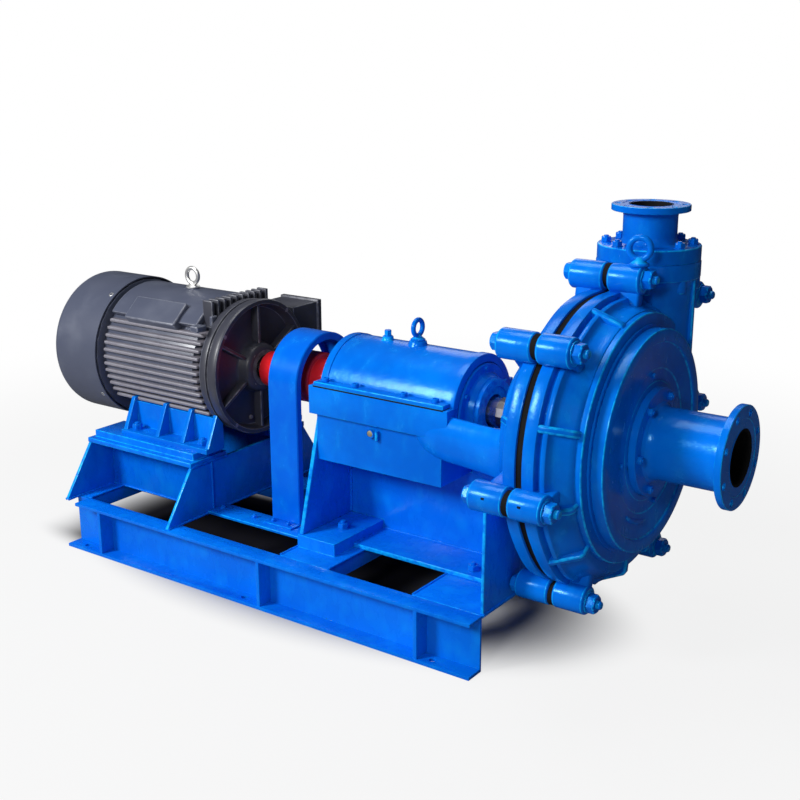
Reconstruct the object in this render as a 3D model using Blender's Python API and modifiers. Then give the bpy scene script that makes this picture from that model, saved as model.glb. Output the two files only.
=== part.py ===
"""Slurry pump set: a horizontal metal-lined slurry pump, direct coupled to its motor on one welded base.

Metres, +Z up, floor at zero. X runs along the shaft toward the suction flange, with zero at the middle
of the base. Y is zero in the vertical plane of the shaft, and the discharge stands on its +Y side.
"""

import math

import bmesh
import bpy
from mathutils import Matrix

# Fits between pieces
fit = 0.0003
running_gap = 0.0015
overrun = 0.02

# Facets of round pieces
round_steps = 24
hidden_steps = 12
pipe_steps = 16
ring_steps = 32
small_steps = 10
bolt_steps = 6

# Shaft line
shaft_height = 0.635
pump_shaft_radius = 0.047
pump_journal_step = 0.004
motor_shaft_radius = 0.040
motor_journal_step = 0.006
coupling_seat_step = 0.008
sleeve_seat_step = 0.006

# Base
base_length = 1.636
base_flange_tip = 0.410
base_web_face = 0.354
channel_height = 0.168
channel_web = 0.008
channel_flange = 0.010
base_plate = 0.010
bar_rear = 0.095
bar_front = 0.240
bar_high = 0.040
guard_rail = 0.010

# Motor stand
stand_rear = -0.824
stand_front = -0.330
stand_plate = 0.012
stand_foot_half = 0.403
stand_head_half = 0.283
stand_rail_low = 0.016
stand_rail_high = 0.024
motor_centre_height = 0.250
motor_foot_level = shaft_height - motor_centre_height

# Motor
frame_rear = -0.800
frame_front = -0.335
frame_radius = 0.198
frame_bore = 0.178
frame_envelope = 0.221
cowl_rear = -1.026
cowl_front = -0.804
cowl_radius = 0.243
shield_front = -0.262
shield_radius = 0.227
shield_face = 0.012
fan_shield_plate = 0.014
motor_bearing_width = 0.050

# Coupling and its guard
coupling_motor_end = -0.232
coupling_split = -0.052
coupling_pump_end = 0.062
coupling_disc_radius = 0.085
guard_rear = -0.105
guard_front = 0.012
guard_radius = 0.152
guard_sheet = 0.004

# Bearing assembly and pedestal
bracket_rear = 0.098
bracket_front = 0.600
bracket_joint_rise = 0.038
bracket_joint = shaft_height + bracket_joint_rise
bracket_band_half = 0.195
bracket_band_drop = 0.050
bracket_band_low = shaft_height - bracket_band_drop
bracket_box_half = 0.175
bracket_box_drop = 0.200
bracket_box_low = shaft_height - bracket_box_drop
bracket_box_front = 0.568
barrel_radius = 0.140
barrel_rear = 0.122
barrel_front = 0.594
barrel_seat = 0.074
cover_thickness = 0.025
cover_radius = barrel_radius + cover_thickness
pedestal_plate = 0.014

# Pump casing
casing_split = 0.955
casing_gap = 0.012
casing_radius = 0.412
rear_wall = 0.826
casing_wall = 0.018
stuffing_hole_radius = 0.110
rim_width = 0.033
front_face = 1.098
front_opening = 0.296
cover_face = 1.138
cover_plate_radius = 0.306
cover_step = 0.007
boss_radius = 0.036
boss_rear = 0.845
boss_front = 1.057

# Ends of the base
base_gap = 0.008
base_front = rear_wall - base_gap
base_rear = base_front - base_length

# Suction and discharge
suction_face = 1.380
suction_flange_radius = 0.140
suction_pipe_radius = 0.0995
suction_bore = 0.0735
neck_flange_radius = 0.150
discharge_x = 0.980
discharge_y = 0.258
discharge_flange_radius = 0.110
discharge_pipe_radius = 0.076
discharge_bore = 0.058
outlet_radius = 0.138
joint_flange_radius = 0.145
joint_drop = 0.011
joint_low = shaft_height + casing_radius - joint_drop
joint_flange_low = 0.047
joint_split = joint_low + joint_flange_low
joint_flange_high = 0.041
joint_high = joint_split + joint_flange_high
discharge_neck = 0.111
discharge_top = joint_high + discharge_neck

# Colours, roughness and metallic value of each finish
finishes = {
    "blue_enamel": ((0.004, 0.105, 0.62), 0.28, 0.0),
    "charcoal_paint": ((0.035, 0.036, 0.045), 0.5, 0.0),
    "red_enamel": ((0.62, 0.015, 0.02), 0.35, 0.0),
    "bright_steel": ((0.62, 0.62, 0.60), 0.3, 1.0),
    "bearing_steel": ((0.5, 0.5, 0.52), 0.25, 1.0),
    "white_iron": ((0.25, 0.25, 0.26), 0.5, 1.0),
    "core_steel": ((0.30, 0.28, 0.27), 0.5, 1.0),
    "brass": ((0.75, 0.55, 0.22), 0.3, 1.0),
    "fan_plastic": ((0.03, 0.03, 0.03), 0.6, 0.0),
}


def clear_scene():
    """Remove what is in the scene and give the two collections that the model fills."""
    for obj in list(bpy.data.objects):
        bpy.data.objects.remove(obj, do_unlink=True)
    shown = bpy.data.collections.new("slurry_pump")
    hidden = bpy.data.collections.new("slurry_pump_cutters")
    hidden.hide_render = True
    for collection in (shown, hidden):
        bpy.context.scene.collection.children.link(collection)
    return shown, hidden


def make_material(name):
    """A Principled material from the finishes table, made once."""
    if name in bpy.data.materials:
        return bpy.data.materials[name]
    colour, roughness, metallic = finishes[name]
    material = bpy.data.materials.new(name)
    material.use_nodes = True
    shader = material.node_tree.nodes["Principled BSDF"]
    shader.inputs["Base Color"].default_value = (*colour, 1.0)
    shader.inputs["Roughness"].default_value = roughness
    shader.inputs["Metallic"].default_value = metallic
    material.diffuse_color = (*colour, 1.0)
    return material


def add_object(name, mesh, finish, location, rotation=(0, 0, 0)):
    """Link a mesh as a part, or as a hidden tool for a Boolean where it has no finish."""
    obj = bpy.data.objects.new(name, mesh)
    obj.location = location
    obj.rotation_euler = rotation
    if finish is None:
        tools.objects.link(obj)
        obj.hide_render = True
        obj.display_type = "WIRE"
    else:
        parts.objects.link(obj)
        mesh.materials.append(make_material(finish))
    return obj


def to_mesh(name, bm):
    """Turn all faces outward and hand the bmesh over to a mesh."""
    bmesh.ops.recalc_face_normals(bm, faces=bm.faces)
    mesh = bpy.data.meshes.new(name)
    bm.to_mesh(mesh)
    bm.free()
    return mesh


def boolean(obj, other, operation):
    """Add one exact Boolean with another object."""
    modifier = obj.modifiers.new(f"{operation.lower()} {other.name}", "BOOLEAN")
    modifier.solver = "EXACT"
    modifier.operation = operation
    modifier.object = other


def weld(obj, *others):
    """Union the other objects with this one."""
    for other in others:
        boolean(obj, other, "UNION")
    return obj


def cut(obj, *others):
    """Take the other objects out of this one."""
    for other in others:
        boolean(obj, other, "DIFFERENCE")
    return obj


def box(name, low, high, finish=None):
    """A box between two corners."""
    size = [high[i] - low[i] for i in range(3)]
    centre = [(high[i] + low[i]) / 2 for i in range(3)]
    bm = bmesh.new()
    bmesh.ops.create_cube(bm, size=1)
    bmesh.ops.scale(bm, vec=size, verts=bm.verts)
    return add_object(name, to_mesh(name, bm), finish, centre)


def lift(axis, flat, along):
    """The 3D point of a flat point at a distance along an axis."""
    if axis == "X":
        return (along, flat[0], flat[1])
    if axis == "Y":
        return (flat[0], along, flat[1])
    return (flat[0], flat[1], along)


def prism(name, outline, axis, low, high, finish=None):
    """A flat outline in world coordinates, extruded between two places along an axis."""
    bm = bmesh.new()
    face = bm.faces.new([bm.verts.new(lift(axis, point, low)) for point in outline])
    grown = bmesh.ops.extrude_face_region(bm, geom=[face])["geom"]
    moved = [part for part in grown if isinstance(part, bmesh.types.BMVert)]
    bmesh.ops.translate(bm, vec=lift(axis, (0, 0), high - low), verts=moved)
    return add_object(name, to_mesh(name, bm), finish, (0, 0, 0))


def cylinders(name, places, radius, low, high, axis, steps, finish=None, flat_start=0.0):
    """Parallel cylinders in one mesh. A place is the flat point that a cylinder's axis goes through."""
    bm = bmesh.new()
    turn = {"X": (math.pi / 2, "Y"), "Y": (-math.pi / 2, "X"), "Z": (0.0, "Z")}[axis]
    for place in places:
        made = bmesh.ops.create_cone(
            bm, cap_ends=True, segments=steps, radius1=radius, radius2=radius, depth=high - low
        )["verts"]
        rotate(bm, made, flat_start, "Z")
        rotate(bm, made, *turn)
        bmesh.ops.translate(bm, vec=lift(axis, place, (low + high) / 2), verts=made)
    return add_object(name, to_mesh(name, bm), finish, (0, 0, 0))


def rotate(bm, verts, angle, axis):
    """Turn some vertices about a world axis through the origin."""
    matrix = bpy_rotation(angle, axis)
    bmesh.ops.rotate(bm, cent=(0, 0, 0), matrix=matrix, verts=verts)


def bpy_rotation(angle, axis):
    """A 3 by 3 rotation matrix."""
    return Matrix.Rotation(angle, 3, axis)


def turned(name, profile, finish=None, axis="X", centre=None, steps=round_steps):
    """A turned piece from a profile of (place along the axis, radius), with a Screw modifier.

    A profile that starts and ends at zero radius makes a solid piece, any other one a ring.
    """
    solid = profile[0][1] == 0 and profile[-1][1] == 0
    area = 0.0
    for (z1, r1), (z2, r2) in zip(profile, profile[1:] + profile[:1]):
        area += r1 * z2 - r2 * z1
    ordered = profile if area < 0 else profile[::-1]
    middle = sum(along for along, _ in profile) / len(profile)
    bm = bmesh.new()
    verts = [bm.verts.new((radius, 0, along - middle)) for along, radius in ordered]
    ends = verts[1:] if solid else verts[1:] + verts[:1]
    for first, second in zip(verts, ends):
        bm.edges.new((first, second))
    mesh = bpy.data.meshes.new(name)
    bm.to_mesh(mesh)
    bm.free()
    if axis == "X":
        place = (middle, *(centre or (0, shaft_height)))
        rotation = (0, math.pi / 2, 0)
    else:
        place = (*(centre or (discharge_x, discharge_y)), middle)
        rotation = (0, 0, 0)
    obj = add_object(name, mesh, finish, place, rotation)
    screw = obj.modifiers.new("turn", "SCREW")
    screw.steps = steps
    screw.render_steps = steps
    screw.use_merge_vertices = True
    screw.merge_threshold = 0.00001
    screw.use_smooth_shade = False
    return obj


def loft(name, rings, finish=None):
    """A solid through several closed rings of points: a grid wrapped round them, with both ends filled."""
    count = len(rings[0])
    bm = bmesh.new()
    grid = bmesh.ops.create_grid(bm, x_segments=count, y_segments=len(rings) - 1, size=1)["verts"]
    for index, vert in enumerate(grid):
        ring, step = divmod(index, count + 1)
        vert.co = rings[ring][step % count]
    bmesh.ops.remove_doubles(bm, verts=bm.verts, dist=fit / 100)
    bmesh.ops.holes_fill(bm, edges=bm.edges)
    return add_object(name, to_mesh(name, bm), finish, (0, 0, 0))


def arc(radius, start, end, steps, centre=(0, 0)):
    """Points on an arc in a flat plane, angles in degrees."""
    points = []
    for step in range(steps + 1):
        angle = math.radians(start + (end - start) * step / steps)
        points.append((centre[0] + radius * math.cos(angle), centre[1] + radius * math.sin(angle)))
    return points


def circle_places(count, radius, start, centre):
    """Equally spaced flat points on a circle, the first one at a start angle in degrees."""
    return arc(radius, start, start + 360 * (count - 1) / count, count - 1, centre)


def both_sides(outline):
    """Mirror an outline in the plane of the shaft, and keep its order."""
    return [(-y, z) for y, z in reversed(outline)]


def eye_bolt(name, place, base_level, ring_radius, wire_radius, finish, axis):
    """A lifting eye: a forged ring on a collar."""
    collar_radius = wire_radius * 1.9
    collar_high = wire_radius * 1.2
    centre_level = base_level + collar_high + ring_radius + wire_radius * 0.6
    ring_profile = circle_places(small_steps // 2, wire_radius, 0.0, (0, ring_radius))
    ring = turned(name, ring_profile, finish, "X", (place[1], centre_level), small_steps)
    ring.location.x = place[0]
    if axis == "Y":
        ring.rotation_euler = (math.pi / 2, 0, 0)
    stem = cylinders(
        f"{name} stem",
        [place],
        collar_radius,
        base_level,
        base_level + collar_high + wire_radius * 1.2,
        "Z",
        bolt_steps,
    )
    return weld(ring, stem)


def build_base():
    """Two rolled channels, toes outward, under four cross plates and two rails for the guard."""
    web_inner = base_web_face - channel_web
    cope_length = 0.050
    hole_radius = 0.011
    hole_places = (-0.750, -0.027, 0.681)
    stiffener_places = (-0.656, 0.054, 0.637)
    stiffener = 0.012
    toe_middle = (base_web_face + base_flange_tip) / 2
    outline = [
        (-web_inner, 0),
        (-base_flange_tip, 0),
        (-base_flange_tip, channel_flange),
        (-base_web_face, channel_flange),
        (-base_web_face, channel_height - channel_flange),
        (-base_flange_tip, channel_height - channel_flange),
        (-base_flange_tip, channel_height),
        (-web_inner, channel_height),
    ]
    for side, name in ((1, "base_channel_near"), (-1, "base_channel_far")):
        flat = outline if side == 1 else both_sides(outline)
        channel = prism(name, flat, "X", base_rear, base_front, "blue_enamel")
        for place in stiffener_places:
            toe = -side * (base_flange_tip - fit * 10)
            root = -side * (base_web_face - channel_web / 2)
            plate = box(
                f"{name} stiffener",
                (place - stiffener / 2, min(toe, root), channel_flange / 2),
                (place + stiffener / 2, max(toe, root), channel_height - channel_flange / 2),
            )
            weld(channel, plate)
        tip = -side * (base_flange_tip + overrun)
        root = -side * (base_web_face + fit)
        cope = box(
            f"{name} cope",
            (base_rear - overrun, min(tip, root), channel_height - channel_flange - fit),
            (base_rear + cope_length, max(tip, root), channel_height + overrun),
        )
        holes = cylinders(
            f"{name} anchor holes",
            [(place, -side * toe_middle) for place in hole_places],
            hole_radius,
            -overrun,
            channel_flange + overrun,
            "Z",
            bolt_steps,
        )
        cut(channel, cope, holes)
    lip = 0.050
    rear_plate_front = -0.765
    middle_plate_rear, middle_plate_front = 0.093, 0.280
    front_plate_rear = 0.585
    plates = {
        "base_cross_rear": (base_rear, rear_plate_front, True),
        "base_cross_middle": (middle_plate_rear, middle_plate_front, True),
        "base_cross_front": (front_plate_rear, base_front, False),
    }
    made = {}
    for name, (rear, front, front_lip) in plates.items():
        top = channel_height
        under = top - base_plate
        flat = [(rear, top), (rear, top - lip), (rear + base_plate, top - lip), (rear + base_plate, under)]
        if front_lip:
            flat += [(front - base_plate, under), (front - base_plate, top - lip), (front, top - lip)]
        else:
            flat += [(front, under)]
        flat += [(front, top)]
        made[name] = prism(name, flat, "Y", -web_inner + fit, web_inner - fit, "blue_enamel")
    bar_half = 0.262
    bar = box(
        "base cross bar",
        (bar_rear, -bar_half, channel_height - base_plate / 2),
        (bar_front, bar_half, channel_height + bar_high),
    )
    weld(made["base_cross_middle"], bar)
    rail_inner, rail_outer = 0.132, 0.221
    for side, name in ((-1, "guard_rail_near"), (1, "guard_rail_far")):
        edges = sorted((side * rail_inner, side * rail_outer))
        box(
            name,
            (stand_front + fit, edges[0], channel_height + fit),
            (bar_rear - fit, edges[1], channel_height + guard_rail),
            "blue_enamel",
        )


def build_stand():
    """The motor stand: two sloping end plates, and a web with its foot rail on each side."""
    foot = channel_height + fit
    rail_low_level = motor_foot_level - stand_rail_high - stand_rail_low
    head = rail_low_level - fit
    trapezoid = [
        (-stand_foot_half, foot),
        (-stand_head_half, head),
        (stand_head_half, head),
        (stand_foot_half, foot),
    ]
    prism("stand_plate_rear", trapezoid, "X", stand_rear, stand_rear + stand_plate, "blue_enamel")
    prism("stand_plate_front", trapezoid, "X", stand_front - stand_plate, stand_front, "blue_enamel")
    web_place, web = 0.186, 0.010
    rail_outer, rail_inner = 0.287, 0.118
    upper_outer, upper_inner = 0.262, 0.130
    upper_setback = 0.012
    for side, name in ((-1, "stand_web_near"), (1, "stand_web_far")):
        def across(first, second):
            return sorted((side * first, side * second))

        low, high = across(web_place - web / 2, web_place + web / 2)
        piece = box(
            name,
            (stand_rear + stand_plate + fit, low, foot),
            (stand_front - stand_plate - fit, high, rail_low_level + stand_rail_low / 2),
            "blue_enamel",
        )
        low, high = across(rail_inner, rail_outer)
        lower = box(
            f"{name} lower rail",
            (stand_rear, low, rail_low_level),
            (stand_front, high, rail_low_level + stand_rail_low),
        )
        low, high = across(upper_inner, upper_outer)
        upper = box(
            f"{name} upper rail",
            (stand_rear + upper_setback, low, rail_low_level + stand_rail_low / 2),
            (stand_front - upper_setback, high, motor_foot_level - fit),
        )
        weld(piece, lower, upper)


def finned_outline():
    """The motor frame's cross section: a round body with straight fins on four sides."""
    side_fins, top_fins, bottom_fins = 11, 10, 6
    fin, side_span, top_span = 0.007, 0.250, 0.262
    bottom_setback = 0.012
    bottom_envelope = frame_envelope - bottom_setback

    def tooth(place, tip):
        low, high = place - fin / 2, place + fin / 2
        return [
            (math.sqrt(frame_radius**2 - low**2), low),
            (tip, low),
            (tip, high),
            (math.sqrt(frame_radius**2 - high**2), high),
        ]

    def row(count, span, tip):
        return [tooth(-span / 2 + span * index / (count - 1), tip) for index in range(count)]

    outline = []
    for quarter, (count, span, tip) in enumerate(
        (
            (side_fins, side_span, frame_envelope),
            (top_fins, top_span, frame_envelope),
            (side_fins, side_span, frame_envelope),
            (bottom_fins, top_span, bottom_envelope),
        )
    ):
        turn = quarter * math.pi / 2
        for points in row(count, span, tip):
            for y, z in points:
                outline.append(
                    (
                        y * math.cos(turn) - z * math.sin(turn),
                        y * math.sin(turn) + z * math.cos(turn) + shaft_height,
                    )
                )
    return outline


def build_motor():
    """Frame, feet, shields, cowl, terminal box and what turns inside."""
    frame = prism("motor_frame", finned_outline(), "X", frame_rear, frame_front - fit, "charcoal_paint")
    pad_high, pad_low, pad_half = 0.246, 0.180, 0.046
    pad_rear, pad_front = -0.700, -0.467
    corner = math.radians(132)
    pad_outline = []
    pad_corners = ((-pad_half, pad_low), (-pad_half, pad_high), (pad_half, pad_high), (pad_half, pad_low))
    for across, out in pad_corners:
        pad_outline.append(
            (
                out * math.cos(corner) - across * math.sin(corner),
                out * math.sin(corner) + across * math.cos(corner) + shaft_height,
            )
        )
    pad = prism("motor frame pad", pad_outline, "X", pad_rear, pad_front)
    foot_seat, seat_inner, seat_rise, seat_height = 0.158, 0.136, 0.020, 0.100
    seat_low = motor_foot_level + seat_rise
    seat_high = seat_low + seat_height
    foot_rear, foot_front = -0.700, -0.300
    seats = []
    for side in (-1, 1):
        edges = sorted((side * foot_seat, side * seat_inner))
        seats.append(
            box(
                f"motor frame foot seat {side}",
                (foot_rear, edges[0], seat_low),
                (frame_front - fit * 10, edges[1], seat_high),
            )
        )
    lug_rise = 0.014
    lug_top = shaft_height + frame_envelope + lug_rise
    eye_place = -0.566
    lug_half = 0.022
    lug = box(
        "motor frame eye lug",
        (eye_place - lug_half, -lug_half, shaft_height + frame_radius / 2),
        (eye_place + lug_half, lug_half, lug_top),
    )
    bore = cylinders(
        "motor frame bore",
        [(0, shaft_height)],
        frame_bore,
        frame_rear - overrun,
        frame_front + overrun,
        "X",
        round_steps,
    )
    weld(frame, pad, *seats, lug)
    cut(frame, bore)

    foot_outer, foot_plate = 0.242, 0.016
    rib, rib_top_half = 0.016, 0.176
    rib_places = (foot_rear, -0.548, -0.430, foot_front - rib)
    hole_inset = 0.045
    hole_places = (foot_rear + hole_inset, foot_front - hole_inset)
    shield_space = cylinders(
        "motor foot shield space",
        [(0, shaft_height)],
        shield_radius + running_gap,
        frame_front - fit,
        foot_front + overrun,
        "X",
        round_steps,
    )
    for side, name in ((-1, "motor_foot_near"), (1, "motor_foot_far")):
        inner, outer = side * (foot_seat + fit), side * foot_outer
        foot = box(
            name,
            (foot_rear, min(inner, outer), motor_foot_level),
            (foot_front, max(inner, outer), motor_foot_level + foot_plate),
            "blue_enamel",
        )
        wall = box(
            f"{name} wall",
            (foot_rear, min(inner, side * rib_top_half), motor_foot_level + foot_plate / 2),
            (foot_front, max(inner, side * rib_top_half), seat_high - foot_plate),
        )
        outline = [
            (inner, motor_foot_level + foot_plate / 2),
            (side * (foot_outer - foot_plate / 2), motor_foot_level + foot_plate / 2),
            (side * (rib_top_half + foot_plate / 2), seat_high),
            (inner, seat_high),
        ]
        ribs = [
            prism(f"{name} rib", outline, "X", place, place + rib)
            for place in rib_places
        ]
        hole_radius = 0.012
        holes = cylinders(
            f"{name} holes",
            [(x, side * (foot_outer + rib_top_half) / 2) for x in hole_places],
            hole_radius,
            motor_foot_level - overrun,
            motor_foot_level + foot_plate + overrun,
            "Z",
            bolt_steps,
        )
        weld(foot, wall, *ribs)
        cut(foot, holes, shield_space)

    build_shields()
    build_cowl()
    build_motor_inside()

    eye_ring, eye_wire = 0.026, 0.007
    eye_bolt("motor_eye_bolt", (eye_place, 0), lug_top + fit, eye_ring, eye_wire, "bright_steel", "X")

    box_rear, box_front = -0.475, -0.312
    box_gap = 0.004
    box_near, box_far = frame_envelope + box_gap, 0.372
    box_rise, box_height = 0.037, 0.120
    box_low = shaft_height + box_rise
    box_high = box_low + box_height
    lid = 0.014
    terminal = box(
        "terminal_box",
        (box_rear, box_near, box_low),
        (box_front, box_far - lid, box_high),
        "charcoal_paint",
    )
    lid_edge = 0.006
    terminal_lid = box(
        "terminal box lid",
        (box_rear - lid_edge, box_far - lid - lid_edge, box_low - lid_edge),
        (box_front + lid_edge, box_far, box_high + lid_edge),
    )
    weld(terminal, terminal_lid)
    neck_half = 0.05
    neck = box(
        "motor frame terminal neck",
        ((box_rear + box_front) / 2 - neck_half, 0, (box_low + box_high) / 2 - neck_half),
        ((box_rear + box_front) / 2 + neck_half, box_near - fit, (box_low + box_high) / 2 + neck_half),
    )
    weld(frame, neck)
    frame.modifiers.move(len(frame.modifiers) - 1, 0)


def build_shields():
    """The ribbed drive-end shield and the plain one behind the fan."""
    face, dish, hub_radius, bearing_radius = shield_face, 0.035, 0.078, 0.060
    ring_wall = 0.016
    ring_inner = shield_radius - ring_wall
    spigot = 0.018
    spigot_radius = frame_bore - fit
    bearing_rear = frame_front - spigot
    bearing_front = shield_front - face
    shaft_hole = motor_shaft_radius + running_gap
    profile = [
        (frame_front, shield_radius - face / 2),
        (shield_front - face, shield_radius),
        (shield_front, shield_radius - face / 4),
        (shield_front, ring_inner),
        (shield_front - dish, ring_inner - face),
        (shield_front - dish, hub_radius + face),
        (shield_front, hub_radius),
        (shield_front + face, hub_radius - face),
        (shield_front + face, shaft_hole),
        (bearing_front, shaft_hole),
        (bearing_front, bearing_radius),
        (bearing_rear, bearing_radius),
        (bearing_rear, spigot_radius - spigot),
        (bearing_rear, spigot_radius),
        (frame_front, spigot_radius),
    ]
    shield = turned("drive_end_shield", profile, "charcoal_paint")
    rib_count, rib_half = 6, 0.006
    for index in range(rib_count):
        angle = math.radians(30 + index * 360 / rib_count)
        outline = []
        for across, out in (
            (-rib_half, hub_radius - face / 2),
            (rib_half, hub_radius - face / 2),
            (rib_half, ring_inner + face / 4),
            (-rib_half, ring_inner + face / 4),
        ):
            outline.append(
                (
                    out * math.cos(angle) - across * math.sin(angle),
                    out * math.sin(angle) + across * math.cos(angle) + shaft_height,
                )
            )
        low, high = shield_front - dish - face / 2, shield_front - face / 2
        weld(shield, prism("drive end shield rib", outline, "X", low, high))

    journal = motor_shaft_radius - motor_journal_step - fit
    rear_seat = cowl_radius - guard_sheet - fit
    rear_plate = fan_shield_plate
    rear_bearing_radius = 0.055
    turned(
        "fan_end_shield",
        [
            (frame_rear - fit, rear_seat),
            (frame_rear - fit - rear_plate * 2, rear_seat),
            (frame_rear - fit - rear_plate * 2, frame_bore),
            (frame_rear - rear_plate * 3, rear_bearing_radius + rear_plate),
            (frame_rear - rear_plate * 3, shaft_hole),
            (frame_rear - rear_plate * 2, shaft_hole),
            (frame_rear - rear_plate * 2, rear_bearing_radius),
            (frame_rear + rear_plate, rear_bearing_radius),
            (frame_rear + rear_plate, frame_bore - fit),
            (frame_rear - fit, frame_bore - fit),
        ],
        "charcoal_paint",
    )
    for name, front, width, outer in (
        ("motor_bearing_drive", bearing_front - fit, motor_bearing_width, bearing_radius),
        ("motor_bearing_fan", frame_rear + rear_plate - fit, rear_plate * 3 - fit * 2, rear_bearing_radius),
    ):
        turned(
            name,
            [
                (front - width, journal + running_gap * 1.5),
                (front - width, outer - fit),
                (front, outer - fit),
                (front, journal + running_gap * 1.5),
            ],
            "bearing_steel",
            steps=hidden_steps,
        )


def build_cowl():
    """The pressed fan cowl, with a grille of radial slots in its rear face."""
    corner = 0.030
    wall = guard_sheet
    outer = [(cowl_front, cowl_radius), (cowl_rear + corner, cowl_radius)]
    outer += [
        (cowl_rear + corner - corner * math.sin(a), cowl_radius - corner + corner * math.cos(a))
        for a in (math.pi / 8, math.pi / 4, math.pi * 3 / 8)
    ]
    outer += [(cowl_rear, cowl_radius - corner), (cowl_rear, 0)]
    inner_corner = corner - wall
    inner = [(cowl_rear + wall, 0), (cowl_rear + wall, cowl_radius - corner)]
    inner += [
        (cowl_rear + corner - inner_corner * math.sin(a), cowl_radius - corner + inner_corner * math.cos(a))
        for a in (math.pi / 4,)
    ]
    inner += [(cowl_rear + corner, cowl_radius - wall), (cowl_front, cowl_radius - wall)]
    cowl = turned("fan_cowl", outer + inner, "charcoal_paint")
    slot_count, slot_half = 8, 0.016
    slot_inner, slot_outer = 0.075, 0.190
    bm = bmesh.new()
    for index in range(slot_count):
        made = bmesh.ops.create_cube(bm, size=1)["verts"]
        size = (wall + overrun * 2, slot_outer - slot_inner, slot_half)
        bmesh.ops.scale(bm, vec=size, verts=made)
        bmesh.ops.translate(bm, vec=(cowl_rear, (slot_outer + slot_inner) / 2, 0), verts=made)
        rotate(bm, made, index * math.tau / slot_count, "X")
    slots = add_object("fan cowl slots", to_mesh("fan cowl slots", bm), None, (0, 0, shaft_height))
    cut(cowl, slots)


def build_motor_inside():
    """Stator, rotor core, shaft and fan."""
    core_rear, core_front = -0.690, -0.460
    stator_inner = 0.112
    turned(
        "stator_core",
        [
            (core_rear, stator_inner),
            (core_rear, frame_bore - fit),
            (core_front, frame_bore - fit),
            (core_front, stator_inner),
        ],
        "core_steel",
        steps=hidden_steps,
    )
    rotor_radius = stator_inner - running_gap * 4
    journal = motor_shaft_radius - motor_journal_step - fit
    fan_seat = 0.026
    fan_rear, fan_front = -0.945, -0.872
    shoulder = 0.030
    drive_step = 0.002
    drive_seat = journal - drive_step
    fan_bearing_face = frame_rear + fan_shield_plate - fit
    drive_bearing_face = shield_front - shield_face - fit - motor_bearing_width
    turned(
        "motor_rotor",
        [
            (fan_rear - shoulder / 2, 0),
            (fan_rear - shoulder / 2, fan_seat),
            (fan_front + shoulder / 2, fan_seat),
            (fan_front + shoulder / 2, journal),
            (fan_bearing_face + fit, journal),
            (fan_bearing_face + fit, motor_shaft_radius),
            (core_rear, motor_shaft_radius),
            (core_rear, rotor_radius),
            (core_front, rotor_radius),
            (core_front, motor_shaft_radius),
            (drive_bearing_face - fit, motor_shaft_radius),
            (drive_bearing_face - fit, journal),
            (shield_front + shoulder / 2, journal),
            (shield_front + shoulder / 2, drive_seat),
            (coupling_split - shoulder, drive_seat),
            (coupling_split - shoulder, 0),
        ],
        "bright_steel",
        steps=hidden_steps,
    )
    blade_count, blade, hub_radius, fan_radius = 8, 0.006, 0.048, 0.196
    plate = 0.008
    fan = turned(
        "cooling_fan",
        [
            (fan_rear, fan_seat + fit),
            (fan_rear, hub_radius),
            (fan_front - plate, hub_radius),
            (fan_front - plate, fan_radius),
            (fan_front, fan_radius),
            (fan_front, fan_seat + fit),
        ],
        "fan_plastic",
    )
    bm = bmesh.new()
    for index in range(blade_count):
        made = bmesh.ops.create_cube(bm, size=1)["verts"]
        size = (fan_front - fan_rear - plate, fan_radius - hub_radius, blade)
        bmesh.ops.scale(bm, vec=size, verts=made)
        place = ((fan_front + fan_rear) / 2, (fan_radius + hub_radius) / 2 - blade, 0)
        bmesh.ops.translate(bm, vec=place, verts=made)
        rotate(bm, made, index * math.tau / blade_count, "X")
    blades = add_object("cooling fan blades", to_mesh("cooling fan blades", bm), None, (0, 0, shaft_height))
    weld(fan, blades)


def build_coupling():
    """Two coupling halves and the sheet guard over them."""
    disc, face_gap = 0.048, 0.004
    motor_hub, pump_hub = 0.058, 0.070
    shaft_seat = motor_shaft_radius - coupling_seat_step
    motor_face = coupling_split - face_gap / 2
    pump_face = coupling_split + face_gap / 2
    turned(
        "motor_coupling",
        [
            (coupling_motor_end, shaft_seat),
            (coupling_motor_end, motor_hub),
            (motor_face - disc, motor_hub),
            (motor_face - disc, coupling_disc_radius),
            (motor_face, coupling_disc_radius),
            (motor_face, shaft_seat),
        ],
        "red_enamel",
        steps=hidden_steps,
    )
    turned(
        "pump_coupling",
        [
            (pump_face, shaft_seat),
            (pump_face, coupling_disc_radius),
            (pump_face + disc, coupling_disc_radius),
            (pump_face + disc, pump_hub),
            (coupling_pump_end, pump_hub),
            (coupling_pump_end, shaft_seat),
        ],
        "red_enamel",
        steps=hidden_steps,
    )
    arch_steps = 12
    foot_level = channel_height + guard_rail + fit
    lip, foot_width, foot_sheet = 0.024, 0.044, 0.006

    def arch(radius, low):
        curve = arc(radius, 0, 180, arch_steps, (0, shaft_height))
        return [(radius, low)] + curve + [(-radius, low)]

    shell = arch(guard_radius, foot_level) + arch(guard_radius - guard_sheet, foot_level)[::-1]
    guard = prism("coupling_guard", shell, "X", guard_rear, guard_front, "blue_enamel")
    cheek = arch(guard_radius - guard_sheet / 2, foot_level) + arch(guard_radius - lip, foot_level)[::-1]
    for rear in (guard_rear, guard_front - guard_sheet):
        weld(guard, prism("coupling guard cheek", cheek, "X", rear, rear + guard_sheet))
    for side in (-1, 1):
        edges = sorted((side * (guard_radius - guard_sheet), side * (guard_radius + foot_width)))
        foot = box(
            "coupling guard foot",
            (guard_rear, edges[0], foot_level),
            (guard_front, edges[1], foot_level + foot_sheet),
        )
        weld(guard, foot)


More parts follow.
